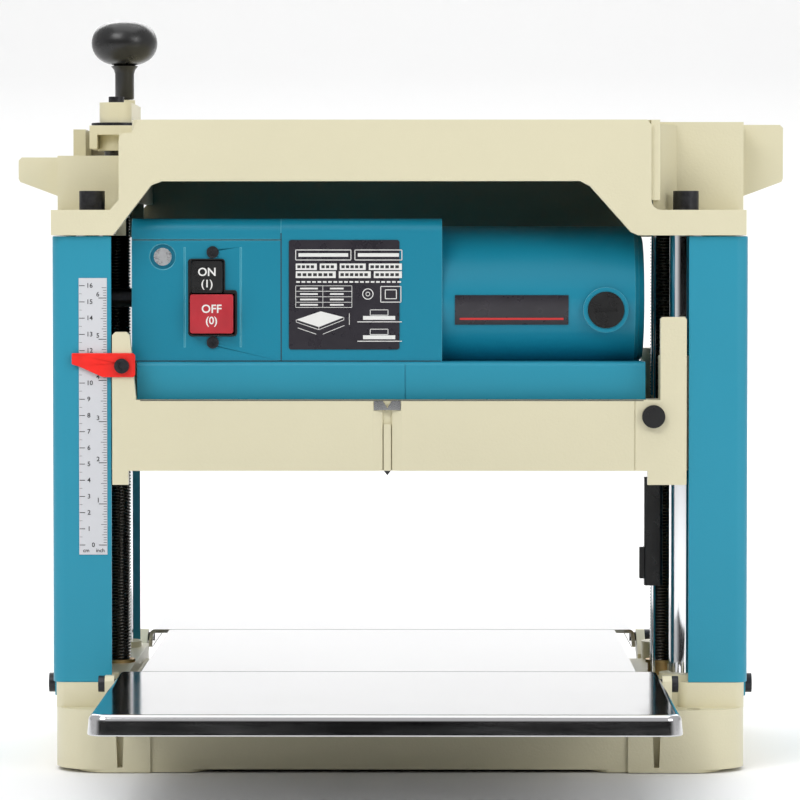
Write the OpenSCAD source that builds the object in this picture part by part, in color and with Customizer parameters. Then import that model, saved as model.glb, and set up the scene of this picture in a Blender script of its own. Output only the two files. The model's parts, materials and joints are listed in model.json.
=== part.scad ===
/* [Planer] */
// Widest board that passes through
plane_w = 304; // [240:1:400]
// Distance of the feed centre from the machine centre
feed_shift = -7; // [-10:1:0]
// Reading on the height scale at rest
opening = 118.5; // [60:0.5:150]
// Height of the main table surface
table_z = 62; // [60:1:70]
/* [Base] */
// Depth of the base casting, front to back
base_d = 292; // [280:1:360]
// Height of the base ledge
ledge_z = 38.5; // [36:0.5:44]
// Thickness of the base walls
base_wall = 8; // [6:0.5:12]
// Bore radius of the bench bolt holes
bench_hole_r = 4.5; // [3:0.5:6]
/* [Columns] */
// Height of the side covers
cover_h = 275.5; // [260:0.5:340]
// Width of a side cover
cover_w = 36.7; // [36:0.1:44]
// Sheet thickness of the side covers
cover_t = 2; // [1.5:0.1:3]
// Diameter of a guide pole
pole_d = 20; // [14:1:24]
// Distance between front and rear poles
pole_span = 212; // [200:1:230]
// Diameter of a lead screw
screw_d = 18; // [14:1:20]
/* [Top frame] */
// Height of the cast top frame
frame_t = 71; // [68:1:84]
// Reach of a carry handle beyond the side cover
handle_reach = 26.8; // [24:0.1:34]
/* [Folding tables] */
// Length of a folding table
leaf_len = 241.5; // [180:0.5:280]
// Width of a folding table
leaf_w = 333; // [330:1:339]
// Depth of the turned-down lip
lip_h = 12; // [10:0.5:16]
/* [Cutting and feed] */
// Radius of the cutting circle
cut_r = 24; // [22:0.5:25]
// Radius of a feed roller
roller_r = 17; // [14:0.5:18]
// Radius of the motor barrel
barrel_r = 45; // [40:0.5:46]
/* [Crank] */
// Crank radius, screw axis to knob axis
crank_throw = 75; // [60:1:100]
// Diameter of the crank knob
knob_d = 43.6; // [30:0.2:50]
/* [Hidden] */
$fn = 48;
// clearances
run_gap = 0.05;
gap = 0.3;
// colours
cream = [0.89, 0.87, 0.75];
teal = [0.20, 0.57, 0.68];
black = [0.08, 0.08, 0.09];
chrome = [0.85, 0.86, 0.88];
steel = [0.62, 0.63, 0.65];
bronze = [0.72, 0.53, 0.28];
red = [0.90, 0.16, 0.06];
// plan
xc = feed_shift;
in_x = plane_w / 2 + 26;
out_x = in_x + cover_w;
base_x = out_x - 1.7;
ear_x = out_x + handle_reach;
pole_x = plane_w / 2 + 32.4;
screw_x = plane_w / 2 + 25;
left_screw_x = xc - screw_x;
right_screw_x = xc + screw_x;
front = -base_d / 2;
cover_y = base_d / 2 - 16;
pole_y = pole_span / 2;
pole_r = pole_d / 2;
screw_r = screw_d / 2;
table_x0 = xc - plane_w / 2;
table_x1 = xc + plane_w / 2;
table_y = base_d / 2 - 4;
leaf_y = table_y + 2;
// heights
pad_h = 1.8;
table_t = 8;
plinth_z = table_z - table_t;
frame_z = plinth_z + cover_h + 0.5;
top_z = frame_z + frame_t;
cut_z = table_z + opening;
cutter_z = cut_z + cut_r;
roller_z = cut_z + roller_r - 0.5;
block_z = frame_z + 15.6;
deck_z = top_z - 21;
deck_t = 8;
// carriage
face_y = cover_y + 2;
panel_t = 8;
panel_z0 = cut_z + 4.4;
panel_z1 = cut_z + 48.1;
ledge_top = panel_z1 + 23.2;
side_l0 = table_x0 - 8;
side_l1 = table_x0 - 1;
side_r0 = table_x1 + 2;
side_r1 = table_x1 + 8.5;
bush_r = pole_r + 2;
boss_r = bush_r + 5;
nut_r = screw_r + 3;
nut_z0 = panel_z0;
nut_z1 = nut_z0 + 17.5;
// cutterhead, rollers and motor, places across the feed
cutter_y = 30;
roller_front_y = -30;
roller_rear_y = 80;
motor_y = -65;
motor_z = panel_z1 + 62.4;
journal_r = 6;
roller_journal_r = 5;
bearing_r = 13;
box_front = -112;
box_top = motor_z + 49.5;
box_l0 = -in_x + 11.5;
box_l1 = -in_x + 104.2;
plate_x1 = -in_x + 181.2;
barrel_x0 = plate_x1 + 22.8;
barrel_x1 = in_x - 26;
stator_x0 = barrel_x0 + 22;
stator_x1 = stator_x0 + 50;
rotor_r = 25.4;
wall = 3;
// belt drive in the left cover
belt_x0 = -out_x + 5.2;
belt_w = 9;
belt_t = 3;
motor_pulley_r = 13;
cutter_pulley_r = 26;
// reduction gears in the right cover
gear_x0 = in_x + 10;
gear_w = 8;
pinion_teeth = 8;
gear_a_teeth = 56;
gear_b_teeth = 60;
gear_a_dist = (pinion_teeth + gear_a_teeth) / 2;
gear_b_dist = (pinion_teeth + gear_b_teeth) / 2;
gear_a_y = cutter_y - 12;
gear_a_z = cutter_z + sqrt(pow(gear_a_dist, 2) - 144);
gear_b_y = gear_a_y - 33;
gear_b_z = gear_a_z + sqrt(pow(gear_b_dist, 2) - 1089);
gear_shaft_r = 4;
gear_plate_x0 = in_x + 4.5;
gear_plate_x1 = in_x + 8;
chain_pitch = 6.35;
chain_x0 = gear_x0 + 18.5;
chain_w = 3;
roller_teeth = 18;
drive_teeth = 9;
// lift drive under the base
lift_z = 15;
lift_pitch_r = 15;
tunnel_y = 52;
// crank
arm_z = top_z + 2;
arm_t = 13;
arm_w = 21;
spindle_r = 3;
knob_z = arm_z + arm_t + 5;
knob_h = 51;
// depth stop
stop_x = in_x - 17.2;
stop_y = -45;
stop_r = 1.5;
sleeve_z0 = cut_z - 72.8;
sleeve_z1 = cut_z - 4;
button_z = sleeve_z0 + 4.3;
// folding table hinge
hinge_y = leaf_y + 14;
hinge_z = table_z - 6;
hinge_r = 3;
leaf_x0 = xc - leaf_w / 2;
leaf_x1 = xc + leaf_w / 2;
// side cover bolts and bottom cover screws
cover_bolt_y = cover_y - 30;
cover_bolt_z = plinth_z - 3;
tunnel_screw_x = base_x - 60;
tunnel_screw_y = tunnel_y + 4;
// top frame: height of the apron slopes, corner walls behind the pole tops, deck ribs
nook_y = pole_y - 21;
nook_t = 3.5;
rib_places = [table_x0 + 85, table_x0 + 176, table_x1 - 35];
rib_t = 4;
frame_deck_t = 8;
arch = [
    [-in_x + 1.4, frame_z], [-in_x + 25.2, frame_z + 30.9], [-in_x + 31.6, frame_z + 33.2],
    [in_x - 67.2, frame_z + 33.4], [in_x - 61.2, frame_z + 30.3],
    [in_x - 36, frame_z + 2], [in_x - 31.5, frame_z]
];
apron_top = concat(
    [[base_x, frame_z], [base_x, block_z], [in_x - 17, block_z]],
    arc(in_x - 17.5, block_z + 6, 6, 270, 180, 4),
    [[in_x - 23.5, top_z - 3], [in_x - 26.5, top_z], [-in_x + 17, top_z], [-in_x + 13, top_z - 8]],
    arc(-in_x + 10.1, top_z - 13, 5, 90, 180, 4),
    [[-in_x + 5.1, block_z + 6], [-in_x - 0.5, block_z], [-out_x, block_z]]
);
front_apron = concat([[-out_x, frame_z]], arch, apron_top);
rear_apron = concat([[-out_x, frame_z]], apron_top);
bearing_half = 16;
// carriage panels
face_x0 = -in_x + 0.7;
face_x1 = in_x - 1.5;
foot_z = cut_z - 4.2;
foot_l = face_x0 + 9.8;
foot_r = face_x1 - 23.8;
ear_l_z = cut_z + 90;
ear_r_z = cut_z + 99.2;
carriage_face = [
    [face_x0, foot_z], [foot_l, foot_z], [foot_l, panel_z0], [foot_r, panel_z0],
    [foot_r, foot_z], [face_x1, foot_z], [face_x1, ear_r_z - 1.2], [face_x1 - 1.2, ear_r_z],
    [face_x1 - 14.9, ear_r_z], [face_x1 - 16.1, ear_r_z - 1.2], [face_x1 - 16.1, panel_z1],
    [face_x0 + 14.7, panel_z1], [face_x0 + 10.8, ear_l_z - 2], [face_x0 + 8.8, ear_l_z],
    [face_x0 + 2, ear_l_z], [face_x0, ear_l_z - 2]
];
carriage_back = [[face_x0, panel_z0], [face_x1, panel_z0], [face_x1, panel_z1], [face_x0, panel_z1]];
nut_arm = 8;
boss_top = cut_z + 75;
gauge_x = xc - 0.8;
cap_x = in_x - 21.9;
cap_z = cut_z + 38;
pointer_x = -in_x + 6.8;
pointer_z = cut_z + 69.1;
plate_post_r = 3;
plate_posts = [[62, cutter_z + 8], [-27, cutter_z + 11.5], [62, cutter_z - 12]];
// motor box
ledge_front = box_front - 4;
box_back = 40;
box_profile = concat(
    [[box_front, ledge_top]], [[box_front, box_top - 9]],
    arc(box_front + 8, box_top - 8, 8, 172, 95, 5),
    [[box_back - 6, box_top]], arc(box_back - 6, box_top - 6, 6, 85, 0, 5), [[box_back, ledge_top]]
);
switch_x = box_l0 + 47;
switch_z = ledge_top + 13;
on_x0 = switch_x - 9.6;
on_x1 = switch_x + 9.6;
on_z0 = switch_z + 29.6;
on_z1 = switch_z + 49.3;
off_x0 = switch_x - 10.4;
off_x1 = switch_x + 16.2;
off_z0 = switch_z + 4.6;
off_z1 = switch_z + 28.7;
housing_screw_places = [
    [box_l0 + 19.2, box_top - 23.7], [switch_x + 3.3, box_top - 20.9], [switch_x + 3.3, ledge_top + 11.8]
];
brush_x = barrel_x1 - 24.3;
brush_z = motor_z - 7.2;
// In on_x, angle 0 points down; these angles set a tooth of the driving gear against a gap of the driven one
function turn_towards(dy, dz) = atan2(dy, -dz);
pinion_a_turn = turn_towards(gear_a_y - cutter_y, gear_a_z - cutter_z);
gear_a_turn = turn_towards(cutter_y - gear_a_y, cutter_z - gear_a_z) + 180 / gear_a_teeth;
pinion_b_turn = turn_towards(gear_b_y - gear_a_y, gear_b_z - gear_a_z);
gear_b_turn = turn_towards(gear_a_y - gear_b_y, gear_a_z - gear_b_z) + 180 / gear_b_teeth;

// ---- shared shapes ----

// Points of an arc, from angle a0 to a1
function arc(x, y, r, a0, a1, n = 8) =
    [for (i = [0:n]) let (a = a0 + (a1 - a0) * i / n) [x + r * cos(a), y + r * sin(a)]];

// Outline of a rectangle with round corners
function round_rect(x0, x1, y0, y1, r) = concat(
    arc(x1 - r, y1 - r, r, 0, 90), arc(x0 + r, y1 - r, r, 90, 180),
    arc(x0 + r, y0 + r, r, 180, 270), arc(x1 - r, y0 + r, r, 270, 360)
);

module block(x0, x1, y0, y1, z0, z1) {
    translate([x0, y0, z0]) cube([x1 - x0, y1 - y0, z1 - z0]);
}

module slab(x0, x1, y0, y1, z0, z1, r) {
    translate([0, 0, z0]) linear_extrude(z1 - z0) polygon(round_rect(x0, x1, y0, y1, r));
}

// Outline in X and Z, thick along Y
module face(pts, y0, y1) {
    translate([0, y1, 0]) rotate([90, 0, 0]) linear_extrude(y1 - y0) polygon(pts);
}

// Outline in Y and Z, thick along X
module side(pts, x0, x1) {
    translate([x0, 0, 0]) rotate([90, 0, 90]) linear_extrude(x1 - x0) polygon(pts);
}

module rod_x(x0, x1, y, z, r) {
    translate([x0, y, z]) rotate([0, 90, 0]) cylinder(h = x1 - x0, r = r);
}

module rod_y(y0, y1, x, z, r) {
    translate([x, y1, z]) rotate([90, 0, 0]) cylinder(h = y1 - y0, r = r);
}

module rod_z(z0, z1, x, y, r) {
    translate([x, y, z0]) cylinder(h = z1 - z0, r = r);
}

module at_poles() {
    for (sx = [-1, 1], sy = [-1, 1]) translate([xc + sx * pole_x, sy * pole_y, 0]) children();
}

// Cap screw standing on +Z, head up, with a hexagon recess
module socket_screw(head_r, head_h, shank_r, shank_l) {
    difference() {
        union() {
            cylinder(h = head_h, r = head_r);
            translate([0, 0, -shank_l]) cylinder(h = shank_l, r = shank_r);
        }
        translate([0, 0, head_h * 0.5]) cylinder(h = head_h, r = head_r * 0.55, $fn = 6);
    }
}

// Pan head screw standing on +Z with a cross slot
module cross_screw(head_r, head_h, shank_r, shank_l) {
    difference() {
        union() {
            cylinder(h = head_h, r = head_r);
            translate([0, 0, -shank_l]) cylinder(h = shank_l, r = shank_r);
        }
        for (a = [0, 90]) rotate([0, 0, a])
            block(-head_r * 0.6, head_r * 0.6, -0.5, 0.5, head_h * 0.4, head_h + 1);
    }
}

// Spur gear of module 1 standing on +Z, with slim teeth for backlash, a tooth at angle 0
module gear_shape(teeth, w, bore_r) {
    tip = teeth / 2 + 0.8;
    root = teeth / 2 - 1.2;
    step = 360 / teeth;
    difference() {
        linear_extrude(w) polygon([for (i = [0:teeth - 1], k = [0:3])
            let (
                r = (k == 0 || k == 3) ? root : tip,
                half = (k == 0 || k == 3) ? 0.27 : 0.11,
                a = step * (i + (k < 2 ? -half : half))
            ) [r * cos(a), r * sin(a)]]);
        if (bore_r > 0) translate([0, 0, -1]) cylinder(h = w + 2, r = bore_r);
    }
}

function pitch_radius(teeth, pitch) = pitch / (2 * sin(180 / teeth));

// Chain sprocket standing on +Z
module sprocket_shape(teeth, pitch, w) {
    pr = pitch_radius(teeth, pitch);
    step = 360 / teeth;
    linear_extrude(w) polygon([for (i = [0:teeth - 1], k = [0:3])
        let (
            r = (k == 0 || k == 3) ? pr - pitch * 0.26 : pr + pitch * 0.2,
            half = (k == 0 || k == 3) ? 0.3 : 0.09,
            a = step * (i + (k < 2 ? -half : half))
        ) [r * cos(a), r * sin(a)]]);
}

// Stands a shape made on +Z along +X at (x, y, z), its angle 0 towards +Z turned by a
module on_x(x, y, z, a = 0) {
    translate([x, y, z]) rotate([0, 90, 0]) rotate([0, 0, a]) children();
}

// Tangent loop round circles given as [y, z, r], grown by g
module loop_outline(circles, g) {
    hull() for (c = circles) translate([c[0], c[1]]) circle(r = c[2] + g, $fn = 64);
}

module loop_x(x0, w, circles, g0, g1) {
    translate([x0, 0, 0]) rotate([90, 0, 90]) linear_extrude(w) difference() {
        loop_outline(circles, g1);
        loop_outline(circles, g0);
    }
}

// ---- fixed stand ----

module base() {
    color(cream) difference() {
        union() {
            slab(-base_x, base_x, front, -front, pad_h, ledge_z, 28);
            for (s = [-1, 1])
                slab(s > 0 ? in_x - 6 : -out_x + cover_t, s > 0 ? out_x - cover_t : -in_x + 6,
                    -cover_y, cover_y, ledge_z, plinth_z, 6);
            slab(table_x0 + 9, table_x1 - 9, -table_y + 6, table_y - 6, ledge_z, plinth_z, 5);
            at_poles() cylinder(h = plinth_z + 4, r = pole_r + 6);
            for (s = [-1, 1]) block(s > 0 ? in_x - 30 : -in_x + 2, s > 0 ? in_x - 4 : -in_x + 8,
                -100, 100, ledge_z, ledge_z + 8);
            for (s = [-1, 1], x = [-base_x + 13, base_x - 96])
                slab(x, x + 83, s > 0 ? -front - 40 : front, s > 0 ? -front : front + 40, 0, ledge_z, 20);
            for (s = [-1, 1]) hinge_lugs(s);
        }
        difference() {
            slab(-base_x + base_wall, base_x - base_wall, front + base_wall, -front - base_wall,
                -1, ledge_z - 8, 20);
            for (sx = [-1, 1], sy = [-1, 1])
                slab(sx > 0 ? base_x - 96 : -base_x, sx > 0 ? base_x : -base_x + 96,
                    sy > 0 ? pole_y - 22 : front, sy > 0 ? -front : -pole_y + 22, -2, ledge_z, 8);
            for (s = [-1, 1])
                block(-base_x + 4, base_x - 4, s > 0 ? tunnel_y : -tunnel_y - 8,
                    s > 0 ? tunnel_y + 8 : -tunnel_y, 8, ledge_z);
        }
        slab(table_x0 + 17, table_x1 - 17, -pole_y + 24, pole_y - 24, ledge_z - 12, plinth_z - 6, 5);
        for (s = [-1, 1]) block(-base_x + 59.7, base_x - 72.9, s > 0 ? -front - 2 : front - 1,
            s > 0 ? -front + 1 : front + 2, -1, ledge_z - 2.5);
        for (s = [-1, 1], x = [-base_x + 41, base_x - 55.3])
            face([[x - 1.6, 3], [x + 1.6, 3], [x + 2.7, 31], [x - 2.7, 31]],
                s > 0 ? -front - base_wall - 1 : front - 1, s > 0 ? -front + 1 : front + base_wall + 1);
        at_poles() translate([0, 0, 16]) cylinder(h = 200, r = pole_r);
        for (x = [left_screw_x, right_screw_x]) rod_z(-1, 200, x, 0, journal_r + 4);
        bench_holes(-1, ledge_z + 1);
        for (s = [-1, 1], y = [-cover_bolt_y, cover_bolt_y])
            rod_x(s * (out_x - cover_t) - 6, s * (out_x - cover_t) + 6, y, cover_bolt_z, 3);
        rod_z(ledge_z - 9, 200, stop_x, stop_y, stop_r);
        for (s = [-1, 1]) hinge_bores(s);
        for (sx = [-1, 1], sy = [-1, 1]) rod_z(-1, 20, sx * tunnel_screw_x, sy * tunnel_screw_y, 2);
    }
}

module bench_holes(z0, z1) {
    for (sx = [-1, 1], sy = [-1, 1])
        rod_z(z0, z1, sx * (base_x - 32), sy * (cover_y + 8), bench_hole_r);
}

// Ears cast on the ledge that carry a folding table's hinge bolts
module hinge_lugs(s) {
    y0 = base_d / 2 - 15;
    for (x0 = [leaf_x0 - 6.5, leaf_x1 + 0.8])
        side([[s * y0, ledge_z - 2], [s * (hinge_y + 5), hinge_z - 9], [s * (hinge_y + 5), hinge_z + 2],
            [s * (hinge_y + 2), hinge_z + 5], [s * (hinge_y - 4), hinge_z + 5], [s * y0, ledge_z + 8]],
            x0, x0 + 5.7);
}

module hinge_bores(s) {
    rod_x(leaf_x0 - 10, leaf_x1 + 10, s * hinge_y, hinge_z, hinge_r);
}

module bottom_cover() {
    color(steel) difference() {
        slab(-base_x + 12, base_x - 12, -tunnel_y - 8, tunnel_y + 8, 5, 8, 6);
        for (sx = [-1, 1], sy = [-1, 1]) rod_z(0, 20, sx * tunnel_screw_x, sy * tunnel_screw_y, 2);
    }
}

module main_table() {
    color(chrome) slab(table_x0, table_x1, -table_y, table_y, plinth_z, table_z, 2);
}

module guide_poles() {
    color(chrome) at_poles() difference() {
        translate([0, 0, 16]) cylinder(h = block_z - 20, r = pole_r);
        translate([0, 0, block_z - 14]) cylinder(h = 20, r = 4);
    }
}

module pole_bolts() {
    color(black) at_poles() translate([0, 0, block_z]) socket_screw(8, 12, 4, 14);
}

// A sheet channel, open towards the carriage, with its low outer corners rounded off
module side_cover(s) {
    x0 = s > 0 ? in_x : -out_x;
    x1 = s > 0 ? out_x : -in_x;
    corner_x = s > 0 ? out_x - 9 : -out_x + 9;
    intersection() {
        union() {
            difference() {
                slab(x0 - (s > 0 ? 20 : 0), x1 + (s > 0 ? 0 : 20), -cover_y, cover_y, plinth_z,
                    plinth_z + cover_h, 8);
                slab(x0 - (s > 0 ? 40 : -cover_t), x1 + (s > 0 ? -cover_t : 40), -cover_y + cover_t,
                    cover_y - cover_t, plinth_z - 1, plinth_z + cover_h + 1, 6);
            }
            for (y = [-cover_bolt_y, cover_bolt_y])
                block(s > 0 ? out_x - cover_t : -out_x, s > 0 ? out_x : -out_x + cover_t,
                    y - 12, y + 12, plinth_z - 10, plinth_z + 2);
        }
        difference() {
            block(x0, x1, -cover_y - 1, cover_y + 1, plinth_z - 11, plinth_z + cover_h);
            for (y = [-cover_bolt_y, cover_bolt_y]) rod_x(-out_x - 9, out_x + 9, y, cover_bolt_z, 3);
        }
    }
}

module left_side_cover() {
    color(teal) side_cover(-1);
}

module right_side_cover() {
    color(teal) side_cover(1);
}

// Bolts of the two side covers and screws of the bottom cover
module cover_bolts() {
    color(black) {
        for (s = [-1, 1], y = [-cover_bolt_y, cover_bolt_y])
            translate([s * out_x, y, cover_bolt_z]) rotate([0, s * 90, 0]) socket_screw(6, 4.5, 3, 7);
        for (sx = [-1, 1], sy = [-1, 1])
            translate([sx * tunnel_screw_x, sy * tunnel_screw_y, 5]) mirror([0, 0, 1])
                cross_screw(4, 2, 2, 10);
    }
}

module scale_plate() {
    color(chrome) slab(-out_x + 16.8, -in_x - 2.5, -cover_y - 0.6, -cover_y, table_z + 71.1,
        table_z + 241.7, 0.25);
}

// ---- top frame ----

module top_frame() {
    color(cream) difference() {
        union() {
            face(front_apron, -face_y - 1, -face_y + 7);
            face(rear_apron, face_y - 7, face_y + 1);
            // deck over the carriage, with its ribs
            slab(-in_x + 13, in_x - 23.5, -face_y, face_y, top_z - frame_deck_t, top_z, 6);
            block(-in_x + 5.1, -in_x + 15, -face_y + 2, face_y - 2, top_z - 14, top_z - 8);
            for (x = rib_places) block(x - rib_t / 2, x + rib_t / 2, -face_y + 6, face_y - 6,
                top_z - 20, top_z - frame_deck_t + 1);
            // inner side walls
            block(-in_x + 5.1, -in_x + 9.5, -face_y + 2, face_y - 2, block_z + 6, top_z - 8);
            block(in_x - 23.5, in_x - 18, -face_y + 2, face_y - 2, block_z + 6, top_z);
            // corner blocks over the poles
            for (s = [-1, 1]) {
                block_y = s > 0 ? [nook_y, face_y] : [-face_y, -nook_y];
                wall_y = s > 0 ? [nook_y - nook_t, nook_y] : [-nook_y, -nook_y + nook_t];
                block(-out_x, -in_x - 0.5, block_y[0], block_y[1], frame_z, block_z);
                block(in_x - 18, base_x, block_y[0], block_y[1], frame_z, block_z);
                block(-out_x, -in_x + 6, wall_y[0], wall_y[1], frame_z, deck_z);
                block(in_x - 20, out_x, wall_y[0], wall_y[1], frame_z, top_z);
                // slanted inner wall of the right-hand corner
                translate([0, 0, block_z]) linear_extrude(top_z - 2 - block_z) polygon([
                    [in_x - 22, s * (face_y - 6)], [in_x - 5, s * nook_y], [in_x - 22, s * nook_y]]);
            }
            // outer side walls and the two side decks
            block(-out_x, -out_x + 3.5, -nook_y, nook_y, frame_z, deck_z);
            block(out_x - 3.5, out_x, -nook_y, nook_y, frame_z, top_z);
            block(-out_x, -in_x + 6, -nook_y, nook_y, deck_z - deck_t, deck_z);
            block(in_x - 20, out_x, -nook_y, nook_y, top_z - 8, top_z);
            block(-out_x, -out_x + 8, 34, nook_y, deck_z - 2, top_z - 1);
            block(-out_x, -in_x + 6, nook_y - nook_t, nook_y, deck_z - 2, top_z - 1);
            handle(-1, frame_z + 26, deck_z - 0.5);
            handle(1, frame_z + 26, top_z - 1);
        }
        at_poles() {
            translate([0, 0, frame_z - 1]) cylinder(h = block_z - frame_z - 3, r = pole_r);
            translate([0, 0, frame_z]) cylinder(h = 30, r = 4);
        }
        rod_z(deck_z - 20, deck_z + 1, left_screw_x, 0, screw_r + 3);
        block(left_screw_x - bearing_half, left_screw_x + bearing_half, -18, 18, deck_z, top_z + 1);
        rod_z(top_z - 20, top_z - 3, right_screw_x, 0, screw_r + 3);
        rod_z(frame_z - 1, top_z - 4, stop_x, stop_y, stop_r);
    }
}

// A hollow carry handle with finger room under its lip
module handle(s, z0, z1) {
    rim = min(z0 + 10, z1 - 8);
    right_side = [[out_x - 1, z0 - 2], [ear_x - 1, rim - 2], [ear_x, rim], [ear_x, z1 - 2], [ear_x - 2, z1],
        [out_x - 1, z1]];
    left_side = [[-out_x + 1, z0 - 2], [-out_x + 1, z1], [-ear_x + 2, z1], [-ear_x, z1 - 2], [-ear_x, rim],
        [-ear_x + 1, rim - 2]];
    difference() {
        face(s > 0 ? right_side : left_side, -60, 60);
        block(s > 0 ? out_x + 2 : -ear_x + 4.5, s > 0 ? ear_x - 4.5 : -out_x - 2, -52, 52, z0 - 20, z1 - 5);
    }
}

module crank_bearing_cap() {
    color(cream) difference() {
        union() {
            block(left_screw_x - bearing_half, left_screw_x - 11, -18, 18, deck_z + 6, top_z);
            block(left_screw_x + 11, left_screw_x + bearing_half, -18, 18, deck_z, top_z);
            slab(left_screw_x - bearing_half, left_screw_x + bearing_half, -18, 18, top_z - 6, top_z, 2);
            rod_z(deck_z + 5, top_z - 2, left_screw_x, 0, 12);
        }
        rod_z(deck_z - 1, top_z + 1, left_screw_x, 0, screw_r - 1 + run_gap);
    }
}

module screw_bushes() {
    color(bronze) {
        for (x = [left_screw_x, right_screw_x]) difference() {
            union() {
                rod_z(ledge_z - 8, plinth_z, x, 0, journal_r + 4);
                rod_z(plinth_z, plinth_z + 2, x, 0, journal_r + 5.5);
            }
            rod_z(0, plinth_z + 20, x, 0, journal_r + run_gap);
        }
        difference() {
            rod_z(deck_z - deck_t, deck_z, left_screw_x, 0, screw_r + 3);
            rod_z(0, 600, left_screw_x, 0, screw_r + run_gap);
        }
        difference() {
            rod_z(top_z - 8, top_z - 3, right_screw_x, 0, screw_r + 3);
            rod_z(0, 600, right_screw_x, 0, journal_r + run_gap);
        }
    }
}

module lift_chain() {
    color(steel) translate([0, 0, lift_z + 0.5]) linear_extrude(3) difference() {
        lift_loop(lift_pitch_r + 6);
        lift_loop(lift_pitch_r + 2.5);
    }
}

// Outline around both lead screw sprockets
module lift_loop(r) {
    hull() for (x = [left_screw_x, right_screw_x]) translate([x, 0]) circle(r = r, $fn = 64);
}

module stop_rod() {
    color(chrome) rod_z(ledge_z - 9, top_z - 4, stop_x, stop_y, stop_r);
}

module table_hinge_bolts() {
    color(black) for (s = [-1, 1]) {
        translate([leaf_x0 - 6.5, s * hinge_y, hinge_z]) rotate([0, -90, 0]) socket_screw(5, 4, hinge_r, 10);
        translate([leaf_x1 + 6.5, s * hinge_y, hinge_z]) rotate([0, 90, 0]) socket_screw(5, 4, hinge_r, 10);
    }
}

// ---- height adjustment ----

module lead_screw(x, z1, top_r) {
    rod_z(plinth_z + 2.2, z1, x, 0, screw_r);
    rod_z(lift_z - 4, plinth_z + 3, x, 0, journal_r);
}

module left_lead_screw() {
    color(black) {
        lead_screw(left_screw_x, deck_z + 2);
        rod_z(deck_z + 1, top_z + 0.4, left_screw_x, 0, screw_r - 1);
        rod_z(top_z, arm_z + arm_t - 2, left_screw_x, 0, journal_r);
    }
}

module right_lead_screw() {
    color(black) {
        lead_screw(right_screw_x, top_z - 8.2);
        rod_z(top_z - 9, top_z - 3.5, right_screw_x, 0, journal_r);
    }
}

module lift_sprocket(x) {
    difference() {
        translate([x, 0, lift_z]) {
            sprocket_shape(12, 7.76, 4);
            cylinder(h = 8, r = 9);
        }
        rod_z(0, 60, x, 0, journal_r);
    }
}

module left_sprocket() {
    color(steel) lift_sprocket(left_screw_x);
}

module right_sprocket() {
    color(steel) lift_sprocket(right_screw_x);
}

module crank_washer() {
    color(black) difference() {
        rod_z(top_z + 0.4, arm_z, left_screw_x, 0, 16);
        rod_z(top_z - 1, arm_z + 1, left_screw_x, 0, journal_r);
    }
}

module crank_arm() {
    color(cream) difference() {
        union() {
            slab(left_screw_x - arm_w / 2, left_screw_x + arm_w / 2, -14, crank_throw + 11, arm_z,
                arm_z + arm_t, 9);
            rod_z(arm_z, knob_z - 0.5, left_screw_x, crank_throw, 7);
            rod_z(arm_z, knob_z + 30, left_screw_x, crank_throw, spindle_r);
        }
        rod_z(arm_z - 1, arm_z + arm_t - 2, left_screw_x, 0, journal_r);
        rod_z(arm_z, arm_z + arm_t + 1, left_screw_x, 0, 3);
    }
}

module crank_screw() {
    color(black) translate([left_screw_x, 0, arm_z + arm_t]) socket_screw(5, 4, 3, 2);
}

module crank_knob() {
    r = knob_d / 2;
    color(black) translate([left_screw_x, crank_throw, knob_z]) rotate_extrude() polygon(concat(
        [[spindle_r + run_gap, 0], [6.3, 0], [6.3, 18], [8, 22], [12.5, 25.5]],
        arc(r - 4, 33, 4, -70, 0, 5),
        arc(0, 33, r, 8, 58, 8),
        [[0, knob_h], [0, 32], [spindle_r + run_gap, 32]]
    ));
}

// ---- folding tables ----

module leaf(s) {
    y0 = s > 0 ? leaf_y : -leaf_y - leaf_len;
    y1 = s > 0 ? leaf_y + leaf_len : -leaf_y;
    sheet = 2.5;
    mid_y0 = s > 0 ? y0 - 30 : y0;
    mid_y1 = s > 0 ? y1 : y1 + 30;
    difference() {
        slab(leaf_x0, leaf_x1, mid_y0, mid_y1, table_z - lip_h, table_z, 8);
        slab(leaf_x0 + sheet, leaf_x1 - sheet, mid_y0 + sheet - (s > 0 ? 40 : 0),
            mid_y1 - sheet + (s > 0 ? 0 : 40), table_z - lip_h - 1, table_z - sheet, 6);
        block(leaf_x0 - 1, leaf_x1 + 1, s > 0 ? y0 - 60 : y1, s > 0 ? y0 : y1 + 60, 0, table_z + 1);
        rod_x(leaf_x0 - 10, leaf_x1 + 10, s * hinge_y, hinge_z, hinge_r + run_gap);
    }
    for (x = [-90, 90]) block(xc + x - 1.5, xc + x + 1.5, y0 + 10, y1 - 10, table_z - 9, table_z - sheet);
}

module front_table() {
    color(chrome) leaf(-1);
}

module rear_table() {
    color(chrome) leaf(1);
}

// ---- depth stop ----

module depth_stop() {
    color(black) difference() {
        slab(stop_x - 5.8, stop_x + 5.8, stop_y - 6, stop_y + 6, sleeve_z0, sleeve_z1, 2);
        rod_z(0, 400, stop_x, stop_y, stop_r + run_gap);
        block(stop_x - 7, stop_x - 3, stop_y - 4, stop_y + 4, button_z - 0.5, button_z + 20.5);
    }
}

module stop_button() {
    color(black) block(stop_x - 8.8, stop_x - 4.6, stop_y - 3.7, stop_y + 3.7, button_z, button_z + 20);
}

// ---- carriage ----

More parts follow.
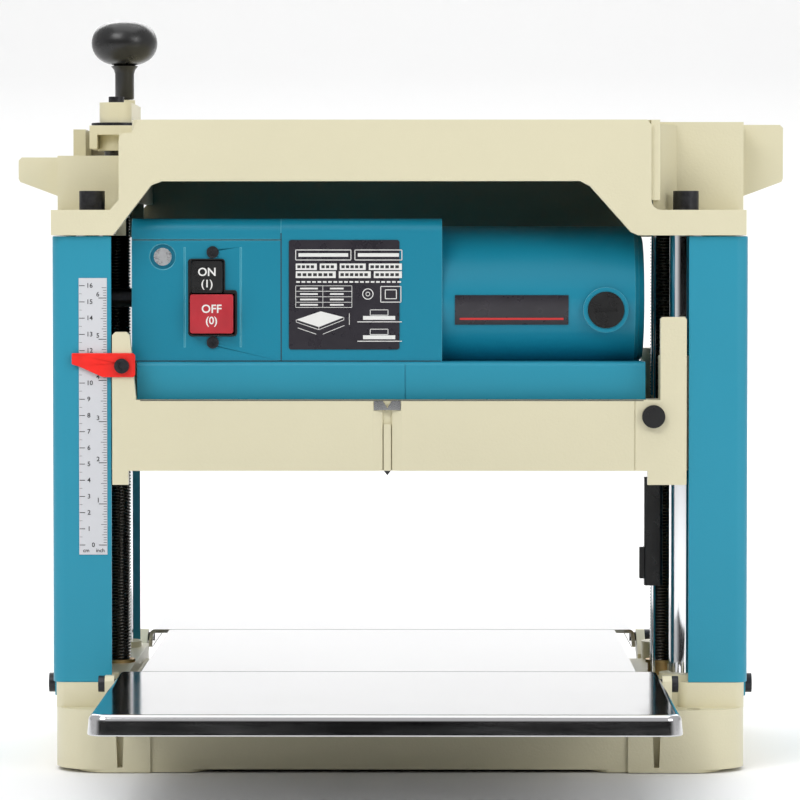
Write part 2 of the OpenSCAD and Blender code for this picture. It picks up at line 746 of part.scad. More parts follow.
module carriage_frame() {
    color(cream) difference() {
        union() {
            face(carriage_face, -face_y, -face_y + panel_t);
            face(carriage_back, face_y - panel_t, face_y);
            block(side_l0, side_l1, -face_y + 4, face_y - 4, panel_z0, panel_z1 - 0.2);
            block(side_r0, side_r1, -face_y + 4, face_y - 4, panel_z0, panel_z1 - 0.2);
            for (sy = [-1, 1]) {
                // arms to the four pole bosses
                block(xc - pole_x, side_l0 + 1, sy * pole_y - 7, sy * pole_y + 7, panel_z0, panel_z1);
                block(side_r1 - 1, xc + pole_x, sy * pole_y - 7, sy * pole_y + 7, panel_z0, panel_z1);
                for (sx = [-1, 1]) rod_z(panel_z0, boss_top, xc + sx * pole_x, sy * pole_y, boss_r);
            }
            // arms to the two lead nuts
            block(left_screw_x, side_l0 + 1, -nut_arm, nut_arm, nut_z0 + 1.5, nut_z1 + 6);
            block(side_r1 - 1, right_screw_x, -nut_arm, nut_arm, nut_z0 + 1.5, nut_z1 + 6);
            for (x = [left_screw_x, right_screw_x]) intersection() {
                rod_z(nut_z0, nut_z1, x, 0, nut_r + 4);
                block(x - nut_r - 2.5, x + nut_r + 2.5, -30, 30, nut_z0, nut_z1);
            }
        }
        at_poles() translate([0, 0, 100]) cylinder(h = 400, r = bush_r);
        for (x = [left_screw_x, right_screw_x]) {
            rod_z(nut_z0 - 1, nut_z1 + 0.001, x, 0, nut_r);
            rod_z(100, 400, x, 0, screw_r + 1);
        }
        rod_x(side_l0 - 1, side_r1 + 1, cutter_y, cutter_z, bearing_r);
        for (y = [roller_front_y, roller_rear_y])
            rod_x(side_l0 - 1, side_r1 + 1, y, roller_z, roller_journal_r + 3);
        // groove and window seat of the depth gauge, and the seam of the right leg
        translate([gauge_x, -face_y, panel_z0 - 1]) linear_extrude(panel_z1 - panel_z0 + 2)
            polygon([[-9.6, -1], [-9, 0], [-3, 2.2], [-2.5, 4.2], [2.5, 4.2], [3, 2.2], [9, 0], [9.6, -1]]);
        block(gauge_x - 8.5, gauge_x + 8.5, -face_y - 1, -face_y + 1.5, panel_z1 - 6.5, panel_z1 + 1);
        // room for the release button of the depth stop
        block(stop_x - 9.3, side_r1 + 1, stop_y - 4.5, stop_y + 4.5, panel_z0 - 1, panel_z1 + 1);
        block(in_x - 33.6, in_x - 33, -face_y - 1, -face_y + 0.6, panel_z0 - 1, panel_z1 + 1);
        for (p = plate_posts) rod_x(side_r0 + 2, side_r1 + 1, p[0], p[1], plate_post_r);
        rod_y(-face_y - 1, -face_y + 5, cap_x, cap_z, 3);
        rod_y(-face_y - 1, -face_y + 5, pointer_x, pointer_z, 1.8);
    }
}

module pole_bushes() {
    color(bronze) at_poles() difference() {
        translate([0, 0, panel_z0]) cylinder(h = boss_top - panel_z0, r = bush_r);
        cylinder(h = 500, r = pole_r + run_gap);
    }
}

module lead_nuts() {
    color(bronze) for (x = [left_screw_x, right_screw_x]) difference() {
        rod_z(nut_z0, nut_z1, x, 0, nut_r);
        rod_z(0, 500, x, 0, screw_r + run_gap);
    }
}

module cutter_cover() {
    x0 = -in_x + 15;
    x1 = barrel_x1;
    color(teal) difference() {
        side(concat(
            [[ledge_front, panel_z1], [face_y - 14, panel_z1]],
            arc(face_y - 17, ledge_top - 3, 3, 0, 90, 4), arc(ledge_front + 3, ledge_top - 3, 3, 90, 180, 4)
        ), x0, x1);
        block(x0 + wall, x1 - wall, ledge_front + wall, face_y - 17, panel_z1 - 1, ledge_top - wall);
        rod_x(barrel_x0 - 6, x1 + 1, motor_y, motor_z, barrel_r + gap);
        block(x0 - 1, plate_x1 + 22, motor_y - 12, motor_y + 12, ledge_top - 8, ledge_top + 1);
        block(table_x0 + 30, table_x1 - 30, face_y - 20, face_y, panel_z1 + 2, ledge_top - 5);
        block(plate_x1 - 0.3, plate_x1 + 0.3, ledge_front - 1, ledge_front + 0.6,
            panel_z1 - 1, ledge_top + 1);
    }
}

module switch_box() {
    color(teal) difference() {
        side(box_profile, box_l0, box_l1);
        block(box_l0 + wall, box_l1 + 1, box_front + wall, box_back - wall, ledge_top - 1, box_top - wall);
        block(box_l0 - 1, box_l1 + 1, box_front - 1, box_front + 0.5, box_top - 13.6, box_top - 13);
        rod_x(box_l0 - 1, box_l0 + 9, motor_y, motor_z, 11);
        rod_y(box_front - 1, box_front + 2.5, box_l0 + 19.2, box_top - 23.7, 8);
        switch_hole();
        for (p = housing_screw_places) rod_y(box_front - 1, box_front + 5, p[0], p[1], 1.5);
        for (x = [switch_x - 14.5, switch_x + 20.3]) block(x, x + 0.8, box_front - 1, box_front + 0.5,
            ledge_top + 9, box_top - 18);
    }
}

// Openings for the two buttons
module switch_hole() {
    front_y = box_front - 5;
    back_y = box_front + wall + 1;
    block(on_x0 - gap, on_x1 + gap, front_y, back_y, off_z1 - 3.7, on_z1 + gap);
    block(off_x0 - 0.5, off_x1 + 0.7, front_y, back_y, off_z0 - 0.6, off_z1 + 0.5);
}

module motor_housing() {
    color(teal) difference() {
        union() {
            side(box_profile, box_l1, plate_x1 + 22.8);
            rod_x(barrel_x0 - 2, barrel_x1 - 6, motor_y, motor_z, barrel_r);
            on_x(barrel_x1 - 6.2, motor_y, motor_z)
                cylinder(h = 6.2, r1 = barrel_r - 0.01, r2 = barrel_r - 7);
            rod_y(box_front - 0.6, box_front + 20, brush_x, brush_z, 14);
            rod_y(motor_y + 25, motor_y + barrel_r + 1.6, brush_x, brush_z, 14);
        }
        block(box_l1 - 1, plate_x1 + 19.8, box_front + wall, box_back - wall, ledge_top - 1, box_top - wall);
        rod_x(plate_x1 + 10, barrel_x1 - 3.5, motor_y, motor_z, barrel_r - wall);
        rod_y(box_front - 5, motor_y + barrel_r + 5, brush_x, brush_z, 8);
        rod_y(box_front - 5, box_front + 1.4, brush_x, brush_z, 11.4);
        // air slots at the back of the barrel
        for (z = [-20, -10, 0, 10])
            block(plate_x1 + 50, plate_x1 + 80, motor_y + 30, motor_y + 50, motor_z + z - 2, motor_z + z + 2);
    }
}

module housing_screws() {
    color(chrome) {
        translate([housing_screw_places[0][0], box_front + 2.5, housing_screw_places[0][1]])
            rotate([90, 0, 0]) socket_screw(5.5, 2, 1.5, 2);
        for (i = [1, 2]) translate([housing_screw_places[i][0], box_front, housing_screw_places[i][1]])
            rotate([90, 0, 0]) cross_screw(3.75, 1.4, 1.5, wall);
    }
}

module rating_plate() {
    color(black) face(round_rect(box_l1 + 4.8, plate_x1 - 3.6, ledge_top + 7.5, box_top - 13.3, 1.5),
        box_front - 0.6, box_front);
}

module badge_plate() {
    color(black) intersection() {
        difference() {
            rod_x(barrel_x0 + 8, barrel_x0 + 78.5, motor_y, motor_z, barrel_r + 0.8);
            rod_x(barrel_x0, barrel_x0 + 90, motor_y, motor_z, barrel_r);
        }
        block(barrel_x0, barrel_x0 + 90, motor_y - 60, motor_y, motor_z - 16.4, motor_z + 2);
    }
}

// Stepped bezel, narrower beside the upper button
module switch_plate() {
    color(black) difference() {
        face(concat(
            arc(on_x1 - 0.6, on_z1 - 0.5, 2, 0, 90, 4), arc(on_x0 - 0.4, on_z1 - 0.5, 2, 90, 180, 4),
            arc(off_x0 + 0.9, off_z0 + 0.4, 2.5, 180, 270, 4),
            arc(off_x1 - 0.2, off_z0 + 0.4, 2.5, 270, 360, 4),
            arc(off_x1 + 0.3, off_z1 + 0.7, 2, 0, 90, 4), [[on_x1 + 1.4, off_z1 + 2.7]]
        ), box_front - 1.2, box_front);
        switch_hole();
    }
}

module on_button() {
    color(black) {
        face(round_rect(on_x0, on_x1, on_z0, on_z1, 1.5), box_front - 5, box_front + 3);
        block(switch_x - 3, switch_x + 3, box_front + 2, box_front + 8, switch_z + 37, switch_z + 43);
    }
}

module off_button() {
    color(red) {
        face(round_rect(off_x0, off_x1, off_z0, off_z1, 1.5), box_front - 8, box_front + 3);
        block(switch_x - 3, switch_x + 3, box_front + 2, box_front + 8, switch_z + 13, switch_z + 19);
    }
}

module switch_block() {
    color(black) difference() {
        block(switch_x - 15, switch_x + 21, box_front + wall, box_front + 34, switch_z, switch_z + 54);
        block(switch_x - 12, switch_x + 18, box_front, box_front + 14, switch_z + 3, switch_z + 51.5);
    }
}

module brush_caps() {
    color(black) for (s = [-1, 1])
        translate([brush_x, s < 0 ? box_front + 1.4 : motor_y + barrel_r + 1.6, brush_z])
        rotate([s < 0 ? 90 : -90, 0, 0]) {
        difference() {
            cylinder(h = 3, r = 11.2);
            translate([-7, -1.2, 1.8]) cube([14, 2.4, 3]);
        }
        translate([0, 0, -16]) cylinder(h = 17, r = 8 - run_gap);
    }
}

module carriage_cap() {
    color(black) {
        rod_y(-face_y - 4, -face_y, cap_x, cap_z, 7.1);
        rod_y(-face_y - 0.5, -face_y + 5, cap_x, cap_z, 3);
    }
}

module height_pointer() {
    top = pointer_z + 7.9;
    low = pointer_z - 6.9;
    tip = -in_x - 24;
    end = -in_x + 15;
    color(red) difference() {
        face([[tip, top], [end - 1.2, top], [end, top - 1.2], [end, low + 1.2], [end - 1.2, low],
            [-in_x - 5, low], [-in_x - 19.5, pointer_z - 0.4], [tip, pointer_z + 1]], -face_y - 1.6, -face_y);
        rod_y(-face_y - 3, -face_y + 1, pointer_x, pointer_z, 1.8);
    }
}

module pointer_screw() {
    color(steel) translate([pointer_x, -face_y - 1.6, pointer_z]) rotate([90, 0, 0])
        socket_screw(4.6, 2.4, 1.8, 5);
}

module gauge_window() {
    color(chrome) difference() {
        block(gauge_x - 8.2, gauge_x + 8.2, -face_y, -face_y + 1.5, panel_z1 - 6.2, panel_z1 - 0.6);
        face([[gauge_x - 3, panel_z1], [gauge_x + 3, panel_z1], [gauge_x, panel_z1 - 5]],
            -face_y - 1, -face_y + 2);
    }
}

// A narrow bar that slides in the groove, its pointed foot below the panel
module gauge_plunger() {
    color(cream) face([[gauge_x, panel_z0 - 2.8], [gauge_x + 2.2, panel_z0], [gauge_x + 2.2, panel_z1 - 15],
        [gauge_x - 2.2, panel_z1 - 15], [gauge_x - 2.2, panel_z0]], -face_y + 2, -face_y + 4);
}

module motor_stator() {
    color(steel) difference() {
        rod_x(stator_x0, stator_x1, motor_y, motor_z, barrel_r - wall);
        rod_x(stator_x0 - 10, stator_x1 + 10, motor_y, motor_z, rotor_r + 2 * gap);
    }
}

// Ring of a ball bearing or bush along X
module ring_x(x0, x1, y, z, r_in, r_out) {
    difference() {
        rod_x(x0, x1, y, z, r_out);
        rod_x(x0 - 1, x1 + 1, y, z, r_in);
    }
}

module shaft_bearings() {
    color(steel) {
        ring_x(side_l0, side_l1, cutter_y, cutter_z, journal_r + run_gap, bearing_r);
        ring_x(side_r0, side_r1, cutter_y, cutter_z, journal_r + run_gap, bearing_r);
        for (y = [roller_front_y, roller_rear_y]) {
            ring_x(side_l0, side_l1, y, roller_z, roller_journal_r + run_gap, roller_journal_r + 3);
            ring_x(side_r0, side_r1, y, roller_z, roller_journal_r + run_gap, roller_journal_r + 3);
        }
        ring_x(box_l0, box_l0 + 9, motor_y, motor_z, journal_r + run_gap, 11);
        ring_x(barrel_x0 + 2, barrel_x0 + 10, motor_y, motor_z, journal_r + run_gap, barrel_r - wall);
        ring_x(barrel_x1 - 11, barrel_x1 - 3.5, motor_y, motor_z, journal_r + run_gap, 20);
    }
}

module drive_belt() {
    color(black) loop_x(belt_x0, belt_w, [
        [motor_y, motor_z, motor_pulley_r],
        [cutter_y, cutter_z, cutter_pulley_r]
    ], 0.5, belt_t);
}

module gear_plate() {
    color(steel) difference() {
        union() {
            side([[-45, cutter_z - 20], [88.5, cutter_z - 20], [88.5, cutter_z + 10], [40, gear_a_z + 14],
                [-22, gear_b_z + 12], [-45, cutter_z + 24]], gear_plate_x0, gear_plate_x1);
            for (p = plate_posts) rod_x(side_r0 + 2, gear_plate_x0 + 1, p[0], p[1], plate_post_r);
        }
        // room for the lead nut arm
        block(gear_plate_x0 - 1, gear_plate_x1 + 1, -nut_r - 6, nut_r + 6, cutter_z - 21, nut_z1 + 0.5);
        rod_x(gear_plate_x0 - 1, gear_plate_x1 + 1, cutter_y, cutter_z, journal_r + 2);
        rod_x(gear_plate_x0 - 1, gear_plate_x1 + 1, gear_a_y, gear_a_z, gear_shaft_r + run_gap);
        rod_x(gear_plate_x0 - 1, gear_plate_x1 + 1, gear_b_y, gear_b_z, gear_shaft_r + run_gap);
        for (y = [roller_front_y, roller_rear_y])
            rod_x(gear_plate_x0 - 1, gear_plate_x1 + 1, y, roller_z, roller_journal_r + 2);
    }
}

module feed_chain() {
    grow = chain_pitch * 0.2;
    color(steel) loop_x(chain_x0, chain_w, [
        [gear_b_y, gear_b_z, pitch_radius(drive_teeth, chain_pitch) + grow],
        [roller_front_y, roller_z, pitch_radius(roller_teeth, chain_pitch) + grow],
        [roller_rear_y, roller_z, pitch_radius(roller_teeth, chain_pitch) + grow]
    ], 0.4, 2.9);
}

module chip_cover() {
    color(black) difference() {
        side([[face_y - 14, panel_z1], [face_y + 2, panel_z1], [face_y + 2, ledge_top - 8],
            [face_y - 4, ledge_top - 2], [face_y - 14, ledge_top - 2]], table_x0 + 24, table_x1 - 24);
        side([[face_y - 15, panel_z1 + 3], [face_y - 1, panel_z1 + 3], [face_y - 1, ledge_top - 9],
            [face_y - 5, ledge_top - 5], [face_y - 15, ledge_top - 5]], table_x0 + 27, table_x1 - 27);
    }
}

module cord_gland() {
    color(black) difference() {
        rod_y(box_back, box_back + 12, box_l0 + 30, box_top - 30, 9);
        rod_y(box_back - 2, box_back + 20, box_l0 + 30, box_top - 30, 4);
    }
}

// ---- turning parts ----

module motor_armature() {
    color(steel) {
        rod_x(belt_x0 - 0.5, barrel_x1 - 4, motor_y, motor_z, journal_r);
        rod_x(belt_x0, belt_x0 + belt_w, motor_y, motor_z, motor_pulley_r);
        rod_x(stator_x0 + 1, stator_x1 - 1, motor_y, motor_z, rotor_r);
        rod_x(stator_x1 + 8, stator_x1 + 22, motor_y, motor_z, 14);
        // fan
        difference() {
            rod_x(stator_x0 - 10, stator_x0 - 2, motor_y, motor_z, barrel_r - wall - 3);
            for (a = [0:30:330]) translate([0, motor_y, motor_z]) rotate([a, 0, 0])
                block(stator_x0 - 8, stator_x0 - 1, -3, 3, 16, barrel_r);
        }
    }
}

module cutterhead() {
    color(steel) {
        difference() {
            rod_x(table_x0 + 0.5, table_x1 - 0.5, cutter_y, cutter_z, cut_r - 2);
            for (a = [0, 180]) translate([0, cutter_y, cutter_z]) rotate([a, 0, 0])
                block(table_x0, table_x1, -4, 4, cut_r - 10, cut_r + 1);
        }
        rod_x(belt_x0 - 0.5, gear_x0 - 0.5, cutter_y, cutter_z, journal_r);
        rod_x(belt_x0, belt_x0 + belt_w, cutter_y, cutter_z, cutter_pulley_r);
        on_x(gear_x0 - 1, cutter_y, cutter_z, pinion_a_turn) gear_shape(pinion_teeth, gear_w + 1, 0);
    }
}

module planer_knives() {
    color(chrome) for (a = [0, 180]) translate([0, cutter_y, cutter_z]) rotate([a, 0, 0]) {
        block(table_x0 + 1, table_x1 - 1, -4, -1, cut_r - 10, cut_r - 0.4);
        block(table_x0 + 1, table_x1 - 1, -1, 4, cut_r - 10, cut_r - 3);
    }
}

module gear_a() {
    color(steel) {
        rod_x(gear_plate_x0 - 4, gear_x0 + 17, gear_a_y, gear_a_z, gear_shaft_r - 1.5);
        rod_x(gear_plate_x0 - 4, gear_x0 + 1, gear_a_y, gear_a_z, gear_shaft_r);
        on_x(gear_x0, gear_a_y, gear_a_z, gear_a_turn) gear_shape(gear_a_teeth, gear_w - 0.5, 0);
        on_x(gear_x0 + gear_w - 0.6, gear_a_y, gear_a_z, pinion_b_turn)
            gear_shape(pinion_teeth, gear_w + 0.6, 0);
    }
}

module gear_b() {
    color(steel) {
        rod_x(gear_plate_x0 - 4, gear_x0 + gear_w + 1, gear_b_y, gear_b_z, gear_shaft_r);
        on_x(gear_x0 + gear_w + 0.5, gear_b_y, gear_b_z, gear_b_turn)
            gear_shape(gear_b_teeth, gear_w - 0.5, 0);
        rod_x(gear_x0 + 15, chain_x0 + 0.5, gear_b_y, gear_b_z, 6);
        on_x(chain_x0 + 0.25, gear_b_y, gear_b_z) sprocket_shape(drive_teeth, chain_pitch, chain_w - 0.5);
    }
}

module feed_roller(y) {
    rod_x(table_x0 + 1, table_x1 - 1, y, roller_z, roller_r);
    rod_x(side_l0 - 1.5, chain_x0 + chain_w + 0.8, y, roller_z, roller_journal_r);
    on_x(chain_x0 + 0.25, y, roller_z) sprocket_shape(roller_teeth, chain_pitch, chain_w - 0.5);
}

module front_feed_roller() {
    color(black) feed_roller(roller_front_y);
}

module rear_feed_roller() {
    color(black) feed_roller(roller_rear_y);
}

base();
bottom_cover();
main_table();
guide_poles();
pole_bolts();
left_side_cover();
right_side_cover();
cover_bolts();
scale_plate();
top_frame();
crank_bearing_cap();
screw_bushes();
lift_chain();
stop_rod();
table_hinge_bolts();
left_lead_screw();
left_sprocket();
crank_washer();
crank_arm();
crank_screw();
crank_knob();
right_lead_screw();
right_sprocket();
front_table();
rear_table();
depth_stop();
stop_button();
carriage_frame();
pole_bushes();
lead_nuts();
cutter_cover();
switch_box();
motor_housing();
housing_screws();
rating_plate();
badge_plate();
switch_plate();
on_button();
off_button();
switch_block();
brush_caps();
carriage_cap();
height_pointer();
pointer_screw();
gauge_window();
gauge_plunger();
motor_stator();
shaft_bearings();
drive_belt();
gear_plate();
feed_chain();
chip_cover();
cord_gland();
motor_armature();
cutterhead();
planer_knives();
gear_a();
gear_b();
front_feed_roller();
rear_feed_roller();
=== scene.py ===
"""Looks of the thickness planer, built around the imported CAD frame. All lengths are in metres."""
import json
import math

import bmesh
import bpy
from mathutils import Matrix, Vector


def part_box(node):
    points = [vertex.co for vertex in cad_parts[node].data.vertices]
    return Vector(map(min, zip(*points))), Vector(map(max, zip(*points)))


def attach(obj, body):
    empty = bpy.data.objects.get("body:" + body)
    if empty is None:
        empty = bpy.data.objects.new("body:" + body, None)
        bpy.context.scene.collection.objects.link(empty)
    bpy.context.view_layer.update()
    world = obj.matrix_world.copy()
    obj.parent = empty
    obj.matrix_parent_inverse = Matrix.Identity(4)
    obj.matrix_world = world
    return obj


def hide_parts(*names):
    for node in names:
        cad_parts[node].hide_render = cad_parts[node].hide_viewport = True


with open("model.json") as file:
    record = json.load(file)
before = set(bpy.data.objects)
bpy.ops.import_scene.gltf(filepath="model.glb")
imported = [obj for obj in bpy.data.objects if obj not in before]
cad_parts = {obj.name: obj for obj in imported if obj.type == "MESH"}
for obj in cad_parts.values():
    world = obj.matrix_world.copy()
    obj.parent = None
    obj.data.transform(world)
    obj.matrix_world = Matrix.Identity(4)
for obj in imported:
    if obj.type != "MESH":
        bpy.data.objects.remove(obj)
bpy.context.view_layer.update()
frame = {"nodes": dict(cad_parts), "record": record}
MM = 0.001


# ---- places read from the frame ----

def low(node):
    return Vector(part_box(node)[0])


def high(node):
    return Vector(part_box(node)[1])


def mid(node):
    return (low(node) + high(node)) / 2


# ---- camera, floor and light ----

CAMERA_PLACE = (0.0142, -2.686, 0.3185)
LENS = 186.75
LOOK_DOWN = 2.0149
LOOK_LEFT = 0.3175


def add_camera():
    """A long lens, level with the carriage and a little right of the middle; it tips down slightly."""
    data = bpy.data.cameras.new("camera")
    data.lens = LENS
    data.sensor_width = 36.0
    data.clip_end = 50.0
    camera = bpy.data.objects.new("camera", data)
    camera.location = CAMERA_PLACE
    camera.rotation_euler = (math.radians(90 - LOOK_DOWN), 0.0, math.radians(LOOK_LEFT))
    bpy.context.collection.objects.link(camera)
    bpy.context.scene.camera = camera


FLOOR_STEPS = 12


def add_floor():
    """One pale sheet: floor in front, curving up into a wall far behind."""
    near, far, radius, top, half_width = -6.0, 3.2, 1.2, 3.4, 7.0
    side = [(near, 0.0), (far - radius, 0.0)]
    for i in range(1, FLOOR_STEPS + 1):
        a = math.radians(90 * i / FLOOR_STEPS)
        side.append((far - radius + radius * math.sin(a), radius - radius * math.cos(a)))
    side.append((far, top))
    bm = bmesh.new()
    rows = [[bm.verts.new((x, y, z)) for y, z in side] for x in (-half_width, half_width)]
    for i in range(len(side) - 1):
        bm.faces.new((rows[0][i], rows[1][i], rows[1][i + 1], rows[0][i + 1]))
    mesh = bpy.data.meshes.new("floor")
    bm.to_mesh(mesh)
    bm.free()
    floor = bpy.data.objects.new("floor", mesh)
    floor.location.z = -0.0005
    for face in mesh.polygons:
        face.use_smooth = True
    bpy.context.collection.objects.link(floor)
    material = bpy.data.materials.new("floor_white")
    material.use_nodes = True
    shader = material.node_tree.nodes["Principled BSDF"]
    shader.inputs["Base Color"].default_value = (0.93, 0.93, 0.93, 1)
    shader.inputs["Roughness"].default_value = 0.9
    mesh.materials.append(material)


def add_area_light(name, place, target, size, power):
    data = bpy.data.lights.new(name, "AREA")
    data.shape = "RECTANGLE"
    data.size, data.size_y = size
    data.energy = power
    lamp = bpy.data.objects.new(name, data)
    lamp.location = place
    aim = Vector(target) - Vector(place)
    lamp.rotation_euler = aim.to_track_quat("-Z", "Y").to_euler()
    bpy.context.collection.objects.link(lamp)


# strength of the room's light, and of the dark band behind the viewer that the table lip mirrors
ROOM_LIGHT = 0.62
DARK_BAND = 0.0


def add_lights():
    """Soft boxes from above and both sides; the room behind the viewer is dark near the floor."""
    add_area_light("key", (-1.3, -2.3, 2.3), (0, 0, 0.25), (1.6, 1.2), 36)
    add_area_light("fill", (2.0, -2.1, 1.3), (0, 0, 0.25), (1.3, 1.3), 19)
    add_area_light("top", (0.0, 0.1, 2.6), (0, 0, 0.2), (2.4, 2.4), 25)
    add_area_light("wall", (0.0, 1.6, 3.0), (0, 3.2, 0.9), (4.0, 0.8), 12)
    add_area_light("back", (0.0, 2.4, 1.7), (0, 0, 0.4), (3.0, 1.2), 34)
    world = bpy.data.worlds.new("studio")
    world.use_nodes = True
    nodes, links = world.node_tree.nodes, world.node_tree.links
    shade = nodes["Background"]
    place = nodes.new("ShaderNodeTexCoord")
    parts = nodes.new("ShaderNodeSeparateXYZ")
    links.new(place.outputs["Generated"], parts.inputs["Vector"])
    ahead = map_range(nodes, links, parts.outputs["Y"], -0.75, -0.35, 0.0, 1.0)
    above = map_range(nodes, links, parts.outputs["Z"], 0.10, 0.32, 0.0, 1.0)
    either = nodes.new("ShaderNodeMath")
    either.operation = "MAXIMUM"
    links.new(ahead, either.inputs[0])
    links.new(above, either.inputs[1])
    links.new(map_range(nodes, links, either.outputs["Value"], 0.0, 1.0, DARK_BAND, ROOM_LIGHT),
              shade.inputs["Strength"])
    shade.inputs["Color"].default_value = (1, 1, 1, 1)
    bpy.context.scene.world = world
    bpy.context.scene.view_settings.view_transform = "Standard"


def map_range(nodes, links, source, from_low, from_high, to_low, to_high):
    node = nodes.new("ShaderNodeMapRange")
    node.inputs["From Min"].default_value = from_low
    node.inputs["From Max"].default_value = from_high
    node.inputs["To Min"].default_value = to_low
    node.inputs["To Max"].default_value = to_high
    links.new(source, node.inputs["Value"])
    return node.outputs["Result"]


# ---- materials ----

def new_material(name):
    material = bpy.data.materials.new(name)
    material.use_nodes = True
    return material, material.node_tree.nodes, material.node_tree.links


def noise(nodes, links, scale, detail, rough, stretch=(1, 1, 1)):
    """Noise over the object's own coordinates, which for a CAD node are metres in the shared frame."""
    place = nodes.new("ShaderNodeTexCoord")
    mapping = nodes.new("ShaderNodeMapping")
    mapping.inputs["Scale"].default_value = stretch
    texture = nodes.new("ShaderNodeTexNoise")
    texture.inputs["Scale"].default_value = scale
    texture.inputs["Detail"].default_value = detail
    texture.inputs["Roughness"].default_value = rough
    links.new(place.outputs["Object"], mapping.inputs["Vector"])
    links.new(mapping.outputs["Vector"], texture.inputs["Vector"])
    return texture.outputs["Fac"]


def ramp(nodes, links, source, stops):
    node = nodes.new("ShaderNodeValToRGB")
    node.color_ramp.elements[0].position = stops[0][0]
    node.color_ramp.elements[0].color = (*stops[0][1], 1)
    node.color_ramp.elements[1].position = stops[-1][0]
    node.color_ramp.elements[1].color = (*stops[-1][1], 1)
    for position, shade in stops[1:-1]:
        element = node.color_ramp.elements.new(position)
        element.color = (*shade, 1)
    links.new(source, node.inputs["Fac"])
    return node.outputs["Color"]


def spread(nodes, links, source, lowest, highest):
    """Noise stays mostly between 0.3 and 0.7; this stretches it over a given span."""
    return map_range(nodes, links, source, 0.3, 0.7, lowest, highest)


def bump(nodes, links, shader, source, distance):
    node = nodes.new("ShaderNodeBump")
    node.inputs["Distance"].default_value = distance
    node.inputs["Strength"].default_value = 1.0
    links.new(source, node.inputs["Height"])
    links.new(node.outputs["Normal"], shader.inputs["Normal"])


def scaled(shade, factor):
    return tuple(min(1.0, c * factor) for c in shade)


def paint(name, shade, roughness, grain=900.0, depth=0.00008, coat=0.0, gloss=0.5):
    """Sprayed paint: slow shifts of tone and a fine orange peel."""
    material, nodes, links = new_material(name)
    shader = nodes["Principled BSDF"]
    links.new(ramp(nodes, links, noise(nodes, links, 9.0, 3.0, 0.55),
                   [(0.25, scaled(shade, 0.97)), (0.55, shade), (0.8, scaled(shade, 1.02))]),
              shader.inputs["Base Color"])
    links.new(spread(nodes, links, noise(nodes, links, 24.0, 4.0, 0.6), roughness * 0.94, roughness * 1.06),
              shader.inputs["Roughness"])
    shader.inputs["Specular IOR Level"].default_value = gloss
    shader.inputs["Coat Weight"].default_value = coat
    shader.inputs["Coat Roughness"].default_value = 0.12
    bump(nodes, links, shader, noise(nodes, links, grain, 2.0, 0.5), depth)
    return material


def metal(name, shade, roughness, stretch=(1, 1, 1), scale=300.0, depth=0.00002, dark=0.9):
    """Bare metal: lay of the machining along the stretched axis, fine scratches, uneven polish."""
    material, nodes, links = new_material(name)
    shader = nodes["Principled BSDF"]
    shader.inputs["Metallic"].default_value = 1.0
    lay = noise(nodes, links, scale, 5.0, 0.65, stretch)
    links.new(ramp(nodes, links, lay, [(0.25, scaled(shade, dark)), (0.6, shade)]),
              shader.inputs["Base Color"])
    patch = noise(nodes, links, 14.0, 3.0, 0.6)
    both = nodes.new("ShaderNodeMath")
    both.operation = "MULTIPLY_ADD"
    both.inputs[1].default_value = 0.5
    links.new(lay, both.inputs[0])
    half = nodes.new("ShaderNodeMath")
    half.operation = "MULTIPLY"
    half.inputs[1].default_value = 0.5
    links.new(patch, half.inputs[0])
    links.new(half.outputs["Value"], both.inputs[2])
    links.new(spread(nodes, links, both.outputs["Value"], roughness * 0.7, roughness * 1.4),
              shader.inputs["Roughness"])
    bump(nodes, links, shader, lay, depth)
    return material


def plastic(name, shade, roughness, grain=1400.0, depth=0.00005):
    """Moulded plastic with a fine spark-eroded grain."""
    material, nodes, links = new_material(name)
    shader = nodes["Principled BSDF"]
    links.new(ramp(nodes, links, noise(nodes, links, 40.0, 3.0, 0.6),
                   [(0.3, scaled(shade, 0.85)), (0.7, scaled(shade, 1.15))]), shader.inputs["Base Color"])
    links.new(spread(nodes, links, noise(nodes, links, 90.0, 3.0, 0.6), roughness * 0.8, roughness * 1.2),
              shader.inputs["Roughness"])
    bump(nodes, links, shader, noise(nodes, links, grain, 2.0, 0.5), depth)
    return material


CREAM = (0.69, 0.645, 0.455)
TEAL = (0.022, 0.276, 0.402)
TEAL_MOTOR = (0.006, 0.222, 0.338)

